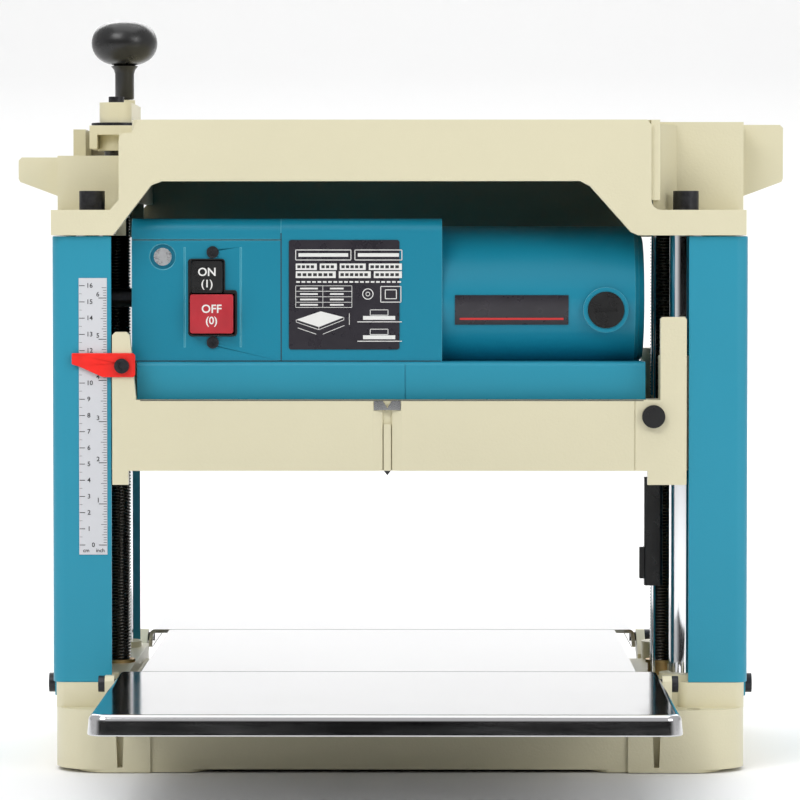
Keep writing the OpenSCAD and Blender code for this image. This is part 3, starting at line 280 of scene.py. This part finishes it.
materials = {
    "cream_casting": paint("cream_casting", CREAM, 0.42, 700.0, 0.00012, 0.15),
    "teal_paint": paint("teal_paint", TEAL, 0.40, 800.0, 0.00006, 0.05, 0.32),
    "black_plastic": plastic("black_plastic", (0.009, 0.009, 0.0095), 0.30),
    "black_steel": metal("black_steel", (0.055, 0.055, 0.06), 0.38, (1, 1, 1), 220.0, 0.00004, 0.6),
    "chrome": metal("chrome", (0.86, 0.87, 0.89), 0.07, (1, 1, 0.15), 120.0, 0.000004, 0.96),
    "polished_steel": metal("polished_steel", (0.62, 0.62, 0.63), 0.10, (0.06, 1, 1), 260.0, 0.000006, 0.95),
    "steel": metal("steel", (0.52, 0.53, 0.55), 0.30, (1, 1, 1), 300.0, 0.00003),
    "aluminium": metal("aluminium", (0.82, 0.82, 0.83), 0.34, (0.08, 1, 1), 500.0, 0.00001, 0.95),
    "bronze": metal("bronze", (0.62, 0.42, 0.19), 0.34, (1, 1, 1), 260.0, 0.00002),
    "rubber": plastic("rubber", (0.02, 0.02, 0.02), 0.75, 500.0, 0.0001),
    "red_plastic": plastic("red_plastic", (0.84, 0.008, 0.001), 0.48),
    "copper_core": metal("copper_core", (0.36, 0.22, 0.13), 0.42, (1, 0.05, 1), 240.0, 0.00004, 0.6),
    "off_red": plastic("off_red", (0.46, 0.022, 0.034), 0.36),
    "oily_thread": metal("oily_thread", (0.12, 0.115, 0.105), 0.24, (1, 1, 1), 400.0, 0.00003, 0.55),
    "plate_black": plastic("plate_black", (0.020, 0.017, 0.024), 0.30, 900.0, 0.00002),
    "ink_white": paint("ink_white", (0.78, 0.78, 0.76), 0.5, 2000.0, 0.00001),
    "ink_black": paint("ink_black", (0.02, 0.02, 0.022), 0.5, 2000.0, 0.00001),
    "ink_red": paint("ink_red", (0.62, 0.02, 0.02), 0.45, 2000.0, 0.00001),
    # dark cream for the top frame's inside faces: painted shade
    "inner_painted_shade": paint("inner_painted_shade", (0.30, 0.27, 0.20), 0.6, 500.0, 0.0002, gloss=0.2),
    "teal_motor": paint("teal_motor", TEAL_MOTOR, 0.38, 800.0, 0.00006, 0.08, 0.32),
    # paler copies of cream and teal for the bevel faces: painted highlight
    "cream_painted_highlight": paint("cream_painted_highlight", (0.84, 0.81, 0.66), 0.30, 700.0, 0.00008, 0.3),
    "teal_painted_highlight": paint("teal_painted_highlight", (0.10, 0.44, 0.56), 0.28, 800.0, 0.00005, 0.3),
    "satin_steel": metal("satin_steel", (0.80, 0.81, 0.83), 0.34, (1, 1, 1), 300.0, 0.00002),
    "scale_face": paint("scale_face", (0.62, 0.63, 0.66), 0.35, 900.0, 0.00002, gloss=0.3),
}


def record_slots():
    return {s["node"]: s["material_slot"] for s in frame["record"]["subparts"]}


SPECIAL = {
    "switch_box": "teal_motor", "motor_housing": "teal_motor", "off_button": "off_red",
    "rating_plate": "plate_black", "badge_plate": "plate_black", "scale_plate": "scale_face",
    "housing_screws": "black_steel",
}
# the paler bevel copy of each paint, a painted highlight on rounded edges
EDGE_HIGHLIGHTS = {"cream_casting": "cream_painted_highlight", "teal_paint": "teal_painted_highlight", "teal_motor": "teal_painted_highlight"}
# bevel widths in millimetres
BEVELS = {
    "base": 2.5, "top_frame": 2.4, "carriage_frame": 1.3, "left_side_cover": 0.6, "right_side_cover": 0.6,
    "main_table": 0.8, "crank_arm": 1.8, "crank_bearing_cap": 1.4,
    "cutter_cover": 1.0, "switch_box": 1.4, "motor_housing": 1.2, "height_pointer": 0.4, "switch_plate": 0.4,
    "on_button": 1.2, "off_button": 2.2, "depth_stop": 0.6, "stop_button": 0.5, "pole_bolts": 0.8,
    "cover_bolts": 0.6, "table_hinge_bolts": 0.5, "carriage_cap": 1.0, "brush_caps": 0.5, "chip_cover": 1.0,
    "rating_plate": 0.2, "badge_plate": 0.15, "crank_screw": 0.4, "housing_screws": 0.3, "scale_plate": 0.2,
}
SMOOTH_ANGLE = 38
FOLDED = ("left_side_cover", "right_side_cover")


FOLD_RADIUS = 5.0


def round_folds(name):
    """The two upright folds of a side cover, bent to a larger radius than its cut edges."""
    obj = frame["nodes"][name]
    outer = max((low(name).x, high(name).x), key=abs)
    for tag, y in (("front", low(name).y), ("back", high(name).y)):
        group = obj.vertex_groups.new(name=tag)
        group.add([v.index for v in obj.data.vertices
                   if abs(v.co.x - outer) < 0.1 * MM and abs(v.co.y - y) < 0.1 * MM], 1.0, "REPLACE")
        fold = obj.modifiers.new("fold_" + tag, "BEVEL")
        fold.width = FOLD_RADIUS * MM
        fold.segments = 6
        fold.limit_method = "VGROUP"
        fold.vertex_group = tag


def soften(obj, bevel_mm):
    """Rounded edges, a touch paler on the bevels as a painted highlight, and even shading, by modifiers
    only.
    """
    for face in obj.data.polygons:
        face.use_smooth = True
    weld = obj.modifiers.new("weld", "WELD")
    weld.merge_threshold = 0.00001
    if obj.name in FOLDED:
        round_folds(obj.name)
    if bevel_mm:
        bevel = obj.modifiers.new("bevel", "BEVEL")
        # the bevel faces take the paler copy of the paint: painted highlight
        edge = EDGE_HIGHLIGHTS.get(obj.data.materials[0].name)
        if edge:
            obj.data.materials.append(materials[edge])
            bevel.material = 1
        bevel.width = bevel_mm * MM
        bevel.segments = 3
        bevel.limit_method = "ANGLE"
        bevel.angle_limit = math.radians(SMOOTH_ANGLE)
        bevel.use_clamp_overlap = True
    split = obj.modifiers.new("split", "EDGE_SPLIT")
    split.split_angle = math.radians(SMOOTH_ANGLE)
    if bevel_mm:
        obj.modifiers.new("normals", "WEIGHTED_NORMAL")


def paint_faces(node, extra, choose):
    """Gives a second material to the faces of a CAD node that choose() picks by centre and normal."""
    mesh = frame["nodes"][node].data
    mesh.materials.append(materials[extra])
    for face in mesh.polygons:
        if choose(face.center / MM, face.normal):
            face.material_index = len(mesh.materials) - 1


# wall thicknesses of the top frame's inner faces, measured in from the carriage's outline
LEFT_WALL, RIGHT_WALL, APRON_WALL, DECK_SKIN = 8.8, 39.5, 5.4, 7.5
SHAFT_REACH = 13.2
FACES_ACROSS = 0.5


def dress_cad_nodes():
    slots = record_slots()
    for name, obj in frame["nodes"].items():
        obj.data.materials.clear()
        obj.data.materials.append(materials[SPECIAL.get(name, slots[name])])
        soften(obj, BEVELS.get(name, 0))
    inner = low("carriage_frame") / MM
    outer = high("carriage_frame") / MM
    deck = high("top_frame").z / MM
    # inside the top frame: faces that look down or towards the middle get a dark colour, painted shade
    paint_faces("top_frame", "inner_painted_shade", lambda c, n: (
        inner.x + LEFT_WALL < c.x < outer.x - RIGHT_WALL and abs(c.y) < outer.y - APRON_WALL
        and c.z < deck - DECK_SKIN and n.z < FACES_ACROSS and n.x * c.x < 1 and n.y * c.y < 1))
    socket = low("switch_box").x / MM + 30
    paint_faces("housing_screws", "satin_steel", lambda c, n: c.x < socket)
    axle = mid("motor_armature") / MM
    inside = low("switch_box").x / MM
    paint_faces("motor_armature", "black_steel", lambda c, n: (
        math.hypot(c.y - axle.y, c.z - axle.z) < SHAFT_REACH and (c.x < inside or abs(n.x) < FACES_ACROSS)))
    # the pointed foot of the plunger, below the panel
    foot = low("carriage_frame").z / MM + 9.2
    paint_faces("gauge_plunger", "ink_black", lambda c, n: c.z < foot)


# ---- mesh helpers; lengths in millimetres until the mesh is made ----

def make_piece(name, bm, material, body, slot, *nodes):
    mesh = bpy.data.meshes.new(name)
    bmesh.ops.scale(bm, vec=(MM, MM, MM), verts=bm.verts)
    bmesh.ops.recalc_face_normals(bm, faces=bm.faces)
    bm.to_mesh(mesh)
    bm.free()
    mesh.materials.append(materials[material])
    obj = bpy.data.objects.new(name, mesh)
    bpy.context.collection.objects.link(obj)
    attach(obj, body)
    if nodes:
        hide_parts(*nodes)
    return obj


def smooth(obj, angle):
    for face in obj.data.polygons:
        face.use_smooth = True
    split = obj.modifiers.new("split", "EDGE_SPLIT")
    split.split_angle = math.radians(angle)
    return obj


def add_box(bm, x0, x1, y0, y1, z0, z1):
    corners = [bm.verts.new((x, y, z)) for z in (z0, z1) for y in (y0, y1) for x in (x0, x1)]
    for a, b, c, d in ((0, 2, 3, 1), (4, 5, 7, 6), (0, 1, 5, 4), (2, 6, 7, 3), (0, 4, 6, 2), (1, 3, 7, 5)):
        bm.faces.new([corners[i] for i in (a, b, c, d)])


def add_prism(bm, points, y0, y1):
    """An outline in X and Z made thick along Y."""
    front = [bm.verts.new((x, y0, z)) for x, z in points]
    back = [bm.verts.new((x, y1, z)) for x, z in points]
    bm.faces.new(front)
    bm.faces.new(back[::-1])
    n = len(points)
    for i in range(n):
        bm.faces.new((front[i], back[i], back[(i + 1) % n], front[(i + 1) % n]))


def add_line(bm, start, end, width, y0, y1):
    """A straight stroke in the XZ plane."""
    along = Vector((end[0] - start[0], end[1] - start[1])).normalized()
    side = Vector((-along.y, along.x)) * (width / 2)
    a, b = Vector(start), Vector(end)
    add_prism(bm, [tuple(a - side), tuple(b - side), tuple(b + side), tuple(a + side)], y0, y1)


def add_frame(bm, x0, x1, z0, z1, width, y0, y1):
    for z in (z0, z1):
        add_line(bm, (x0, z), (x1, z), width, y0, y1)
    for x in (x0, x1):
        add_line(bm, (x, z0), (x, z1), width, y0, y1)


def add_ring(bm, x, z, radius, width, y0, y1, sides=32):
    for i in range(sides):
        a0, a1 = math.tau * i / sides, math.tau * (i + 1) / sides
        r0, r1 = radius - width / 2, radius + width / 2
        add_prism(bm, [(x + r * math.cos(a), z + r * math.sin(a))
                       for r, a in ((r0, a0), (r1, a0), (r1, a1), (r0, a1))], y0, y1)


# size of the font for a capital letter one unit high, and half the thickness of the letters
FONT_SIZE = 1.38
LETTER_DEPTH = 0.06


def add_text(bm, words, x, y, z, height, bold=0.0):
    """Upright letters in the XZ plane at depth y, facing -Y, their centre at x and z."""
    curve = bpy.data.curves.new("words", "FONT")
    curve.body = words
    curve.size = height * FONT_SIZE
    curve.offset = bold
    curve.extrude = LETTER_DEPTH
    curve.resolution_u = 3
    curve.align_x = "CENTER"
    curve.align_y = "CENTER"
    holder = bpy.data.objects.new("words", curve)
    bpy.context.collection.objects.link(holder)
    graph = bpy.context.evaluated_depsgraph_get()
    mesh = bpy.data.meshes.new_from_object(holder.evaluated_get(graph))
    place = Matrix.Translation((x, y, z)) @ Matrix.Rotation(math.radians(90), 4, "X")
    mesh.transform(place)
    bm.from_mesh(mesh)
    bpy.data.meshes.remove(mesh)
    bpy.data.objects.remove(holder)
    bpy.data.curves.remove(curve)


def add_lathe(bm, rows, x, y, sides, radius):
    """A solid of revolution round a vertical axis; radius(height, angle) gives its surface."""
    rings = []
    for z in rows:
        rings.append([])
        for k in range(sides):
            a = math.tau * k / sides
            r = radius(z, a)
            rings[-1].append(bm.verts.new((x + r * math.cos(a), y + r * math.sin(a), z)))
    for lower, upper in zip(rings, rings[1:]):
        for k in range(sides):
            bm.faces.new((lower[k], lower[(k + 1) % sides], upper[(k + 1) % sides], upper[k]))
    bm.faces.new(rings[0][::-1])
    bm.faces.new(rings[-1])


# ---- new pieces ----

THREAD_PITCH = 2.0
THREAD_DEPTH = 0.95
ROWS_PER_TURN = 5
SCREW_SIDES = 28
SCREW_R, JOURNAL_R, BEARING_R = 9, 6, 8


def add_lead_screw(node, body, profile):
    """A screw with a real helical thread; profile lists (height, radius, threaded) steps upwards."""
    centre = mid(node) / MM
    rows = []
    for (z0, r, threaded), (z1, _, _) in zip(profile, profile[1:]):
        count = max(1, int(round((z1 - z0) / (THREAD_PITCH / ROWS_PER_TURN)))) if threaded else 1
        for i in range(count + 1):
            # the end rows stay just inside, so that two steps never share a height
            apart = 0.002 if i == 0 else -0.002 if i == count else 0
            rows.append((z0 + (z1 - z0) * i / count + apart, r, threaded))
    table = {z: (r, threaded) for z, r, threaded in rows}

    def radius(z, a):
        r, threaded = table[z]
        if not threaded:
            return r
        turn = (z / THREAD_PITCH - a / math.tau) % 1.0
        ridge = min(1.0, max(0.0, 2.6 * (0.5 - abs(turn - 0.5)) - 0.15))
        return r - THREAD_DEPTH * (1.0 - ridge)

    bm = bmesh.new()
    add_lathe(bm, [row[0] for row in rows], centre.x, centre.y, SCREW_SIDES, radius)
    smooth(make_piece(node + "_threaded", bm, "oily_thread", body, "black_steel", node), 60)


def add_lead_screws():
    left, right = low("left_lead_screw") / MM, low("right_lead_screw") / MM
    plinth = low("main_table").z / MM
    left_top, right_top = high("left_lead_screw").z / MM, high("right_lead_screw").z / MM
    deck = low("crank_bearing_cap").z / MM
    cap_top = high("crank_bearing_cap").z / MM
    add_lead_screw("left_lead_screw", "left_screw", [
        (left.z, JOURNAL_R, False), (plinth + 2.2, SCREW_R, True), (deck + 1.6, BEARING_R, False),
        (cap_top + 0.3, JOURNAL_R, False), (left_top, JOURNAL_R, False)])
    add_lead_screw("right_lead_screw", "right_screw", [
        (right.z, JOURNAL_R, False), (plinth + 2.2, SCREW_R, True), (right_top - 4.8, JOURNAL_R, False),
        (right_top, JOURNAL_R, False)])


KNOB_BELLY = 37.0
KNOB_BELLY_DROP = 14.6
KNOB_SIDES = 56


def add_knob():
    """Flattened ball on a flared neck; the outline lists (height, radius) from the foot up."""
    lowest, highest = low("crank_knob") / MM, high("crank_knob") / MM
    centre = (lowest + highest) / 2
    ball = (highest.x - lowest.x) / 2
    outline = [(0, 3.1), (0.0, 5.6), (0.7, 6.3), (17, 6.3), (19.8, 7.2), (22, 9.0)]
    for i in range(0, 9):
        a = math.radians(90 - 78 * (1 - i / 8))
        outline.append((KNOB_BELLY - KNOB_BELLY_DROP * math.cos(a), ball * math.sin(a) ** 0.75))
    crown = highest.z - lowest.z - KNOB_BELLY
    for i in range(1, 15):
        a = math.radians(90 * i / 14)
        outline.append((KNOB_BELLY + crown * math.sin(a), ball * math.cos(a) ** 0.62))
    # a hair added to each height keeps every row of the table apart
    heights = [(lowest.z + h + 0.0005 * i, r) for i, (h, r) in enumerate(outline)]
    heights[-1] = (highest.z, 0.4)
    table = dict(heights)
    bm = bmesh.new()
    add_lathe(bm, [h for h, _ in heights], centre.x, centre.y, KNOB_SIDES, lambda z, a: table[z])
    smooth(make_piece("knob_ball", bm, "black_plastic", "knob", "black_plastic", "crank_knob"), 50)


LIP_ROUND = 3.6
LIP_DRAFT = 0.75
SHEET = 2.5
CORNER = 11.0
RIB_PLACE = 90
RIB_DEPTH = 9
RIB_SHORT = 12
RIB_HALF = 1.5


def add_tray(node, body, sign):
    """Pressed sheet tray: flat top, rolled edge, lip on three sides, open at the hinge."""
    a, b = low(node) / MM, high(node) / MM
    hinge_edge, far = (b.y, a.y) if sign < 0 else (a.y, b.y)

    def ring(inset):
        x0, x1 = a.x + inset, b.x - inset
        y_far = far - sign * inset
        r = CORNER - min(inset, CORNER - 4)
        points = [(x0, hinge_edge)]
        for i in range(9):
            t = math.radians(90 * i / 8)
            points.append((x0 + r - r * math.cos(t), y_far - sign * (r - r * math.sin(t))))
        for i in range(9):
            t = math.radians(90 * i / 8)
            points.append((x1 - r + r * math.sin(t), y_far - sign * (r - r * math.cos(t))))
        points.append((x1, hinge_edge))
        return points

    def rolled(offset, first_z):
        fold = b.z - LIP_ROUND
        steps = [(offset + 0.5, first_z), (offset + 0.12, first_z + 0.25), (offset, first_z + 0.8),
                 (offset + LIP_DRAFT, fold)]
        r = LIP_ROUND - offset
        for i in range(1, 7):
            t = math.radians(90 * i / 6)
            steps.append((LIP_DRAFT + LIP_ROUND - r * math.cos(t), fold + r * math.sin(t)))
        return steps

    bm = bmesh.new()
    shells = []
    for offset in (0.0, SHEET):
        rings = [[bm.verts.new((x, y, z)) for x, y in ring(inset)] for inset, z in rolled(offset, a.z)]
        for lower, upper in zip(rings, rings[1:]):
            for k in range(len(lower) - 1):
                bm.faces.new((lower[k], lower[k + 1], upper[k + 1], upper[k]))
        bm.faces.new(rings[-1])
        shells.append(rings)
    outside, inside = shells
    for k in range(len(outside[0]) - 1):
        bm.faces.new((outside[0][k], outside[0][k + 1], inside[0][k + 1], inside[0][k]))
    for end in (0, -1):
        for i in range(len(outside) - 1):
            bm.faces.new((outside[i][end], outside[i + 1][end], inside[i + 1][end], inside[i][end]))
    bm.faces.new((outside[-1][0], outside[-1][-1], inside[-1][-1], inside[-1][0]))
    centre = (a.x + b.x) / 2
    for x in (centre - RIB_PLACE, centre + RIB_PLACE):
        add_box(bm, x - RIB_HALF, x + RIB_HALF, a.y + RIB_SHORT, b.y - RIB_SHORT,
                b.z - RIB_DEPTH, b.z - SHEET + 0.1)
    tray = make_piece(node + "_sheet", bm, "polished_steel", body, "polished_steel", node)
    smooth(tray, 45)
    tray.modifiers.new("normals", "WEIGHTED_NORMAL")


# the rule on the left cover: places, stroke lengths and half widths in millimetres
INCH = 25.4
INCH_PARTS = 16
SCALE_CM = 16
SCALE_ZERO_FROM_FOOT = 5.9
SCALE_EDGE = 0.3
CM_STROKE, HALF_CM_STROKE = 3.4, 1.7
CM_HALF_WIDTH, HALF_CM_HALF_WIDTH = 0.22, 0.1
INCH_STROKES = ((16, 4.9), (8, 3.6), (4, 2.9), (1, 2.0))
INCH_HALF_WIDTH, PART_HALF_WIDTH = 0.24, 0.15
FIGURE, UNIT = 2.9, 2.4


def add_scale_marks():
    """Centimetres at the left edge, inches at the right edge, as on a steel rule."""
    a, b = low("scale_plate") / MM, high("scale_plate") / MM
    y0, y1 = a.y - 0.05, a.y + 0.1
    zero = a.z + SCALE_ZERO_FROM_FOOT
    left, right = a.x + SCALE_EDGE, b.x - SCALE_EDGE
    bm = bmesh.new()
    for i in range(SCALE_CM + 1):
        z = zero + 10 * i
        add_box(bm, left, left + CM_STROKE, y0, y1, z - CM_HALF_WIDTH, z + CM_HALF_WIDTH)
        figure_x = (a.x + b.x) / 2 if i == 0 else a.x + 6.1 if i < 10 else a.x + 6.7
        add_text(bm, str(i), figure_x, y0, z, FIGURE, bold=0.05)
        if i < SCALE_CM:
            add_box(bm, left, left + HALF_CM_STROKE, y0, y1,
                    z + 5 - HALF_CM_HALF_WIDTH, z + 5 + HALF_CM_HALF_WIDTH)
    for i in range(int(SCALE_CM * 10 / INCH * INCH_PARTS) + 1):
        z = zero + INCH * i / INCH_PARTS
        stroke = next(length for step, length in INCH_STROKES if i % step == 0)
        half = PART_HALF_WIDTH if i % INCH_PARTS else INCH_HALF_WIDTH
        add_box(bm, right - stroke, right, y0, y1, z - half, z + half)
        if i and i % INCH_PARTS == 0:
            add_text(bm, str(i // INCH_PARTS), b.x - 5.6, y0, z + 2.2, FIGURE, bold=0.05)
    add_text(bm, "cm", a.x + 4.3, y0, zero - 3.4, UNIT, bold=0.04)
    add_text(bm, "inch", b.x - 4.4, y0, zero - 3.4, UNIT, bold=0.04)
    make_piece("scale_marks", bm, "ink_black", "stand", "black_plastic")


def add_button_words():
    """ON and OFF, each over its sign."""
    for node, body, word, sign in (("on_button", "on_press", "ON", "(1)"),
                                   ("off_button", "off_press", "OFF", "(0)")):
        a, centre = low(node) / MM, mid(node) / MM
        bm = bmesh.new()
        add_text(bm, word, centre.x, a.y - 0.02, centre.z + 2.9, 5.2, bold=0.12)
        add_text(bm, sign, centre.x, a.y - 0.02, centre.z - 4.3, 4.8, bold=0.10)
        make_piece(node + "_words", bm, "ink_white", body, "aluminium")


BOLD_STROKE, THIN_STROKE, FINE_STROKE = 0.5, 0.4, 0.3


def add_rating_marks():
    """Blank data cells, a small table and outline pictures of a board and a cutter, with no words."""
    a, b = low("rating_plate") / MM, high("rating_plate") / MM
    y0, y1 = a.y - 0.06, a.y + 0.1
    white, dark = bmesh.new(), bmesh.new()
    # every place below is in millimetres from the plate's left edge and down from its top edge

    def u(v):
        return a.x + v

    def w(v):
        return b.z - v

    def cell(x0, x1, top, bottom):
        add_box(white, u(x0), u(x1), y0, y1, w(bottom), w(top))
        count = max(2, int((x1 - x0) / 3.2))
        for i in range(count):
            step = (x1 - x0 - 2) / count
            add_box(dark, u(x0 + 1 + step * i), u(x0 + 1 + step * (i + 0.72)), y0 - 0.05, y0 + 0.02,
                    w((top + bottom) / 2 + 0.9), w((top + bottom) / 2 - 0.9))

    # two headings, then two rows of data cells and a row of dashes
    left, right = 4.3, 70.1
    for x0, x1, inset in ((left, 38.5, 1.7), (41.0, right, 1.8)):
        add_frame(white, u(x0), u(x1), w(12.4), w(6.2), BOLD_STROKE, y0, y1)
        add_box(white, u(x0 + inset), u(x1 - inset), y0, y1, w(10.4), w(8.2))
    for x0, x1 in ((left, 17.4), (19.2, 29.8), (31.6, 47.7), (49.6, right)):
        cell(x0, x1, 14.6, 18.6)
    for x0, x1 in ((left, 29.1), (31.0, 50.8), (52.7, right)):
        cell(x0, x1, 19.4, 23.6)
    for i in range(20):
        dash = left + 0.3 + 3.3 * i
        add_box(white, u(dash), u(dash + 2.3), y0, y1, w(26.5), w(25.5))
    # a small table of two columns and four rows
    lines, columns = (28.4, 31.8, 35.2, 38.6, 41.8), (left, 21.1, 39.1)
    for v in lines:
        add_line(white, (u(columns[0]), w(v)), (u(columns[-1]), w(v)), FINE_STROKE, y0, y1)
    for x in columns:
        add_line(white, (u(x), w(lines[0])), (u(x), w(lines[-1])), FINE_STROKE, y0, y1)
    for v in (30.1, 33.5, 36.9, 40.2):
        for x0, x1 in ((7.0, 18.0), (25.5, 34.0)):
            add_box(white, u(x0), u(x1), y0, y1, w(v + 0.5), w(v - 0.5))
    # two plain signs: a ring in a ring and a square in a square
    add_ring(white, u(49.0), w(33.5), 3.2, BOLD_STROKE, y0, y1)
    add_ring(white, u(49.0), w(33.5), 1.2, THIN_STROKE, y0, y1)
    add_frame(white, u(57.0), u(69.5), w(38.5), w(28.8), BOLD_STROKE, y0, y1)
    add_frame(white, u(59.8), u(66.7), w(36.4), w(30.9), BOLD_STROKE, y0, y1)
    # a board seen from a corner, with its size lines
    add_prism(white, [(u(4.6), w(49.4)), (u(19.8), w(44.2)), (u(34.1), w(47.9)), (u(18.6), w(54.0))], y0, y1)
    board_edges = (
        ((4.6, 50.9), (18.6, 55.6)), ((18.6, 55.6), (34.1, 49.5)), ((4.6, 49.4), (4.6, 50.9)),
        ((34.1, 47.9), (34.1, 49.5)), ((18.6, 54.0), (18.6, 55.6)))
    size_lines = (((5.5, 54.5), (17.0, 58.4)), ((21.0, 58.4), (34.5, 53.0)), ((37.5, 45.5), (37.5, 52.5)))
    for start, end in board_edges + size_lines:
        add_line(white, (u(start[0]), w(start[1])), (u(end[0]), w(end[1])), 0.35, y0, y1)
    # two cutters over a board, from the side
    for v in (50.5, 62.5):
        add_box(white, u(42.5), u(70.1), y0, y1, w(v + 0.5), w(v))
        add_box(white, u(46.0), u(66.0), y0, y1, w(v - 1.0), w(v - 3.4))
        add_frame(white, u(50.5), u(61.5), w(v - 3.9), w(v - 7.2), THIN_STROKE, y0, y1)
    make_piece("rating_marks", white, "ink_white", "carriage", "aluminium")
    make_piece("rating_bars", dark, "ink_black", "carriage", "black_plastic")


LINE_FOOT, LINE_HEIGHT, LINE_SHORT = 3.0, 1.3, 3


def add_badge_line():
    """One red line along the curved badge."""
    a, b = low("badge_plate") / MM, high("badge_plate") / MM
    axle = mid("motor_armature") / MM
    radius = axle.y - a.y + 0.06
    bm = bmesh.new()
    rings = []
    for i in range(4):
        z = a.z + LINE_FOOT + LINE_HEIGHT * i / 3
        y = axle.y - math.sqrt(radius ** 2 - (z - axle.z) ** 2)
        ends = (a.x + LINE_SHORT, b.x - LINE_SHORT)
        rings.append([bm.verts.new((x, y, z)) for x in ends])
        rings[-1] += [bm.verts.new((x, y + 0.3, z)) for x in reversed(ends)]
    for lower, upper in zip(rings, rings[1:]):
        for k in range(4):
            bm.faces.new((lower[k], lower[(k + 1) % 4], upper[(k + 1) % 4], upper[k]))
    bm.faces.new(rings[0])
    bm.faces.new(rings[-1])
    make_piece("badge_line", bm, "ink_red", "carriage", "red_plastic")


BARREL_SIDE = 99


def add_seams():
    """Shadow lines of the joints between the switch box, the motor housing, the cover and the carriage."""
    a, b = low("switch_box") / MM, high("switch_box") / MM
    panel = low("carriage_frame").y / MM
    ledge = low("cutter_cover") / MM
    bm = bmesh.new()
    # upright joint of the two boxes, groove under the lid, foot of both boxes, top edge of the panel
    add_box(bm, b.x - 0.3, b.x + 0.3, a.y - 0.05, a.y + 0.3, a.z + 0.3, b.z - 9)
    add_box(bm, a.x + 0.4, b.x, a.y - 0.05, a.y + 0.3, b.z - 13.5, b.z - 13.1)
    add_box(bm, a.x + 0.4, b.x + BARREL_SIDE, a.y - 0.05, a.y + 0.3, a.z + 0.05, a.z + 0.6)
    add_box(bm, ledge.x + 3, high("cutter_cover").x / MM - 2, panel - 0.05, panel + 0.3,
            ledge.z - 0.6, ledge.z - 0.1)
    make_piece("seam_lines", bm, "ink_black", "carriage", "black_plastic")


add_camera()
add_floor()
add_lights()
dress_cad_nodes()
add_lead_screws()
add_knob()
add_tray("front_table", "front_leaf", -1)
add_tray("rear_table", "rear_leaf", 1)
add_scale_marks()
add_button_words()
add_rating_marks()
add_badge_line()
add_seams()
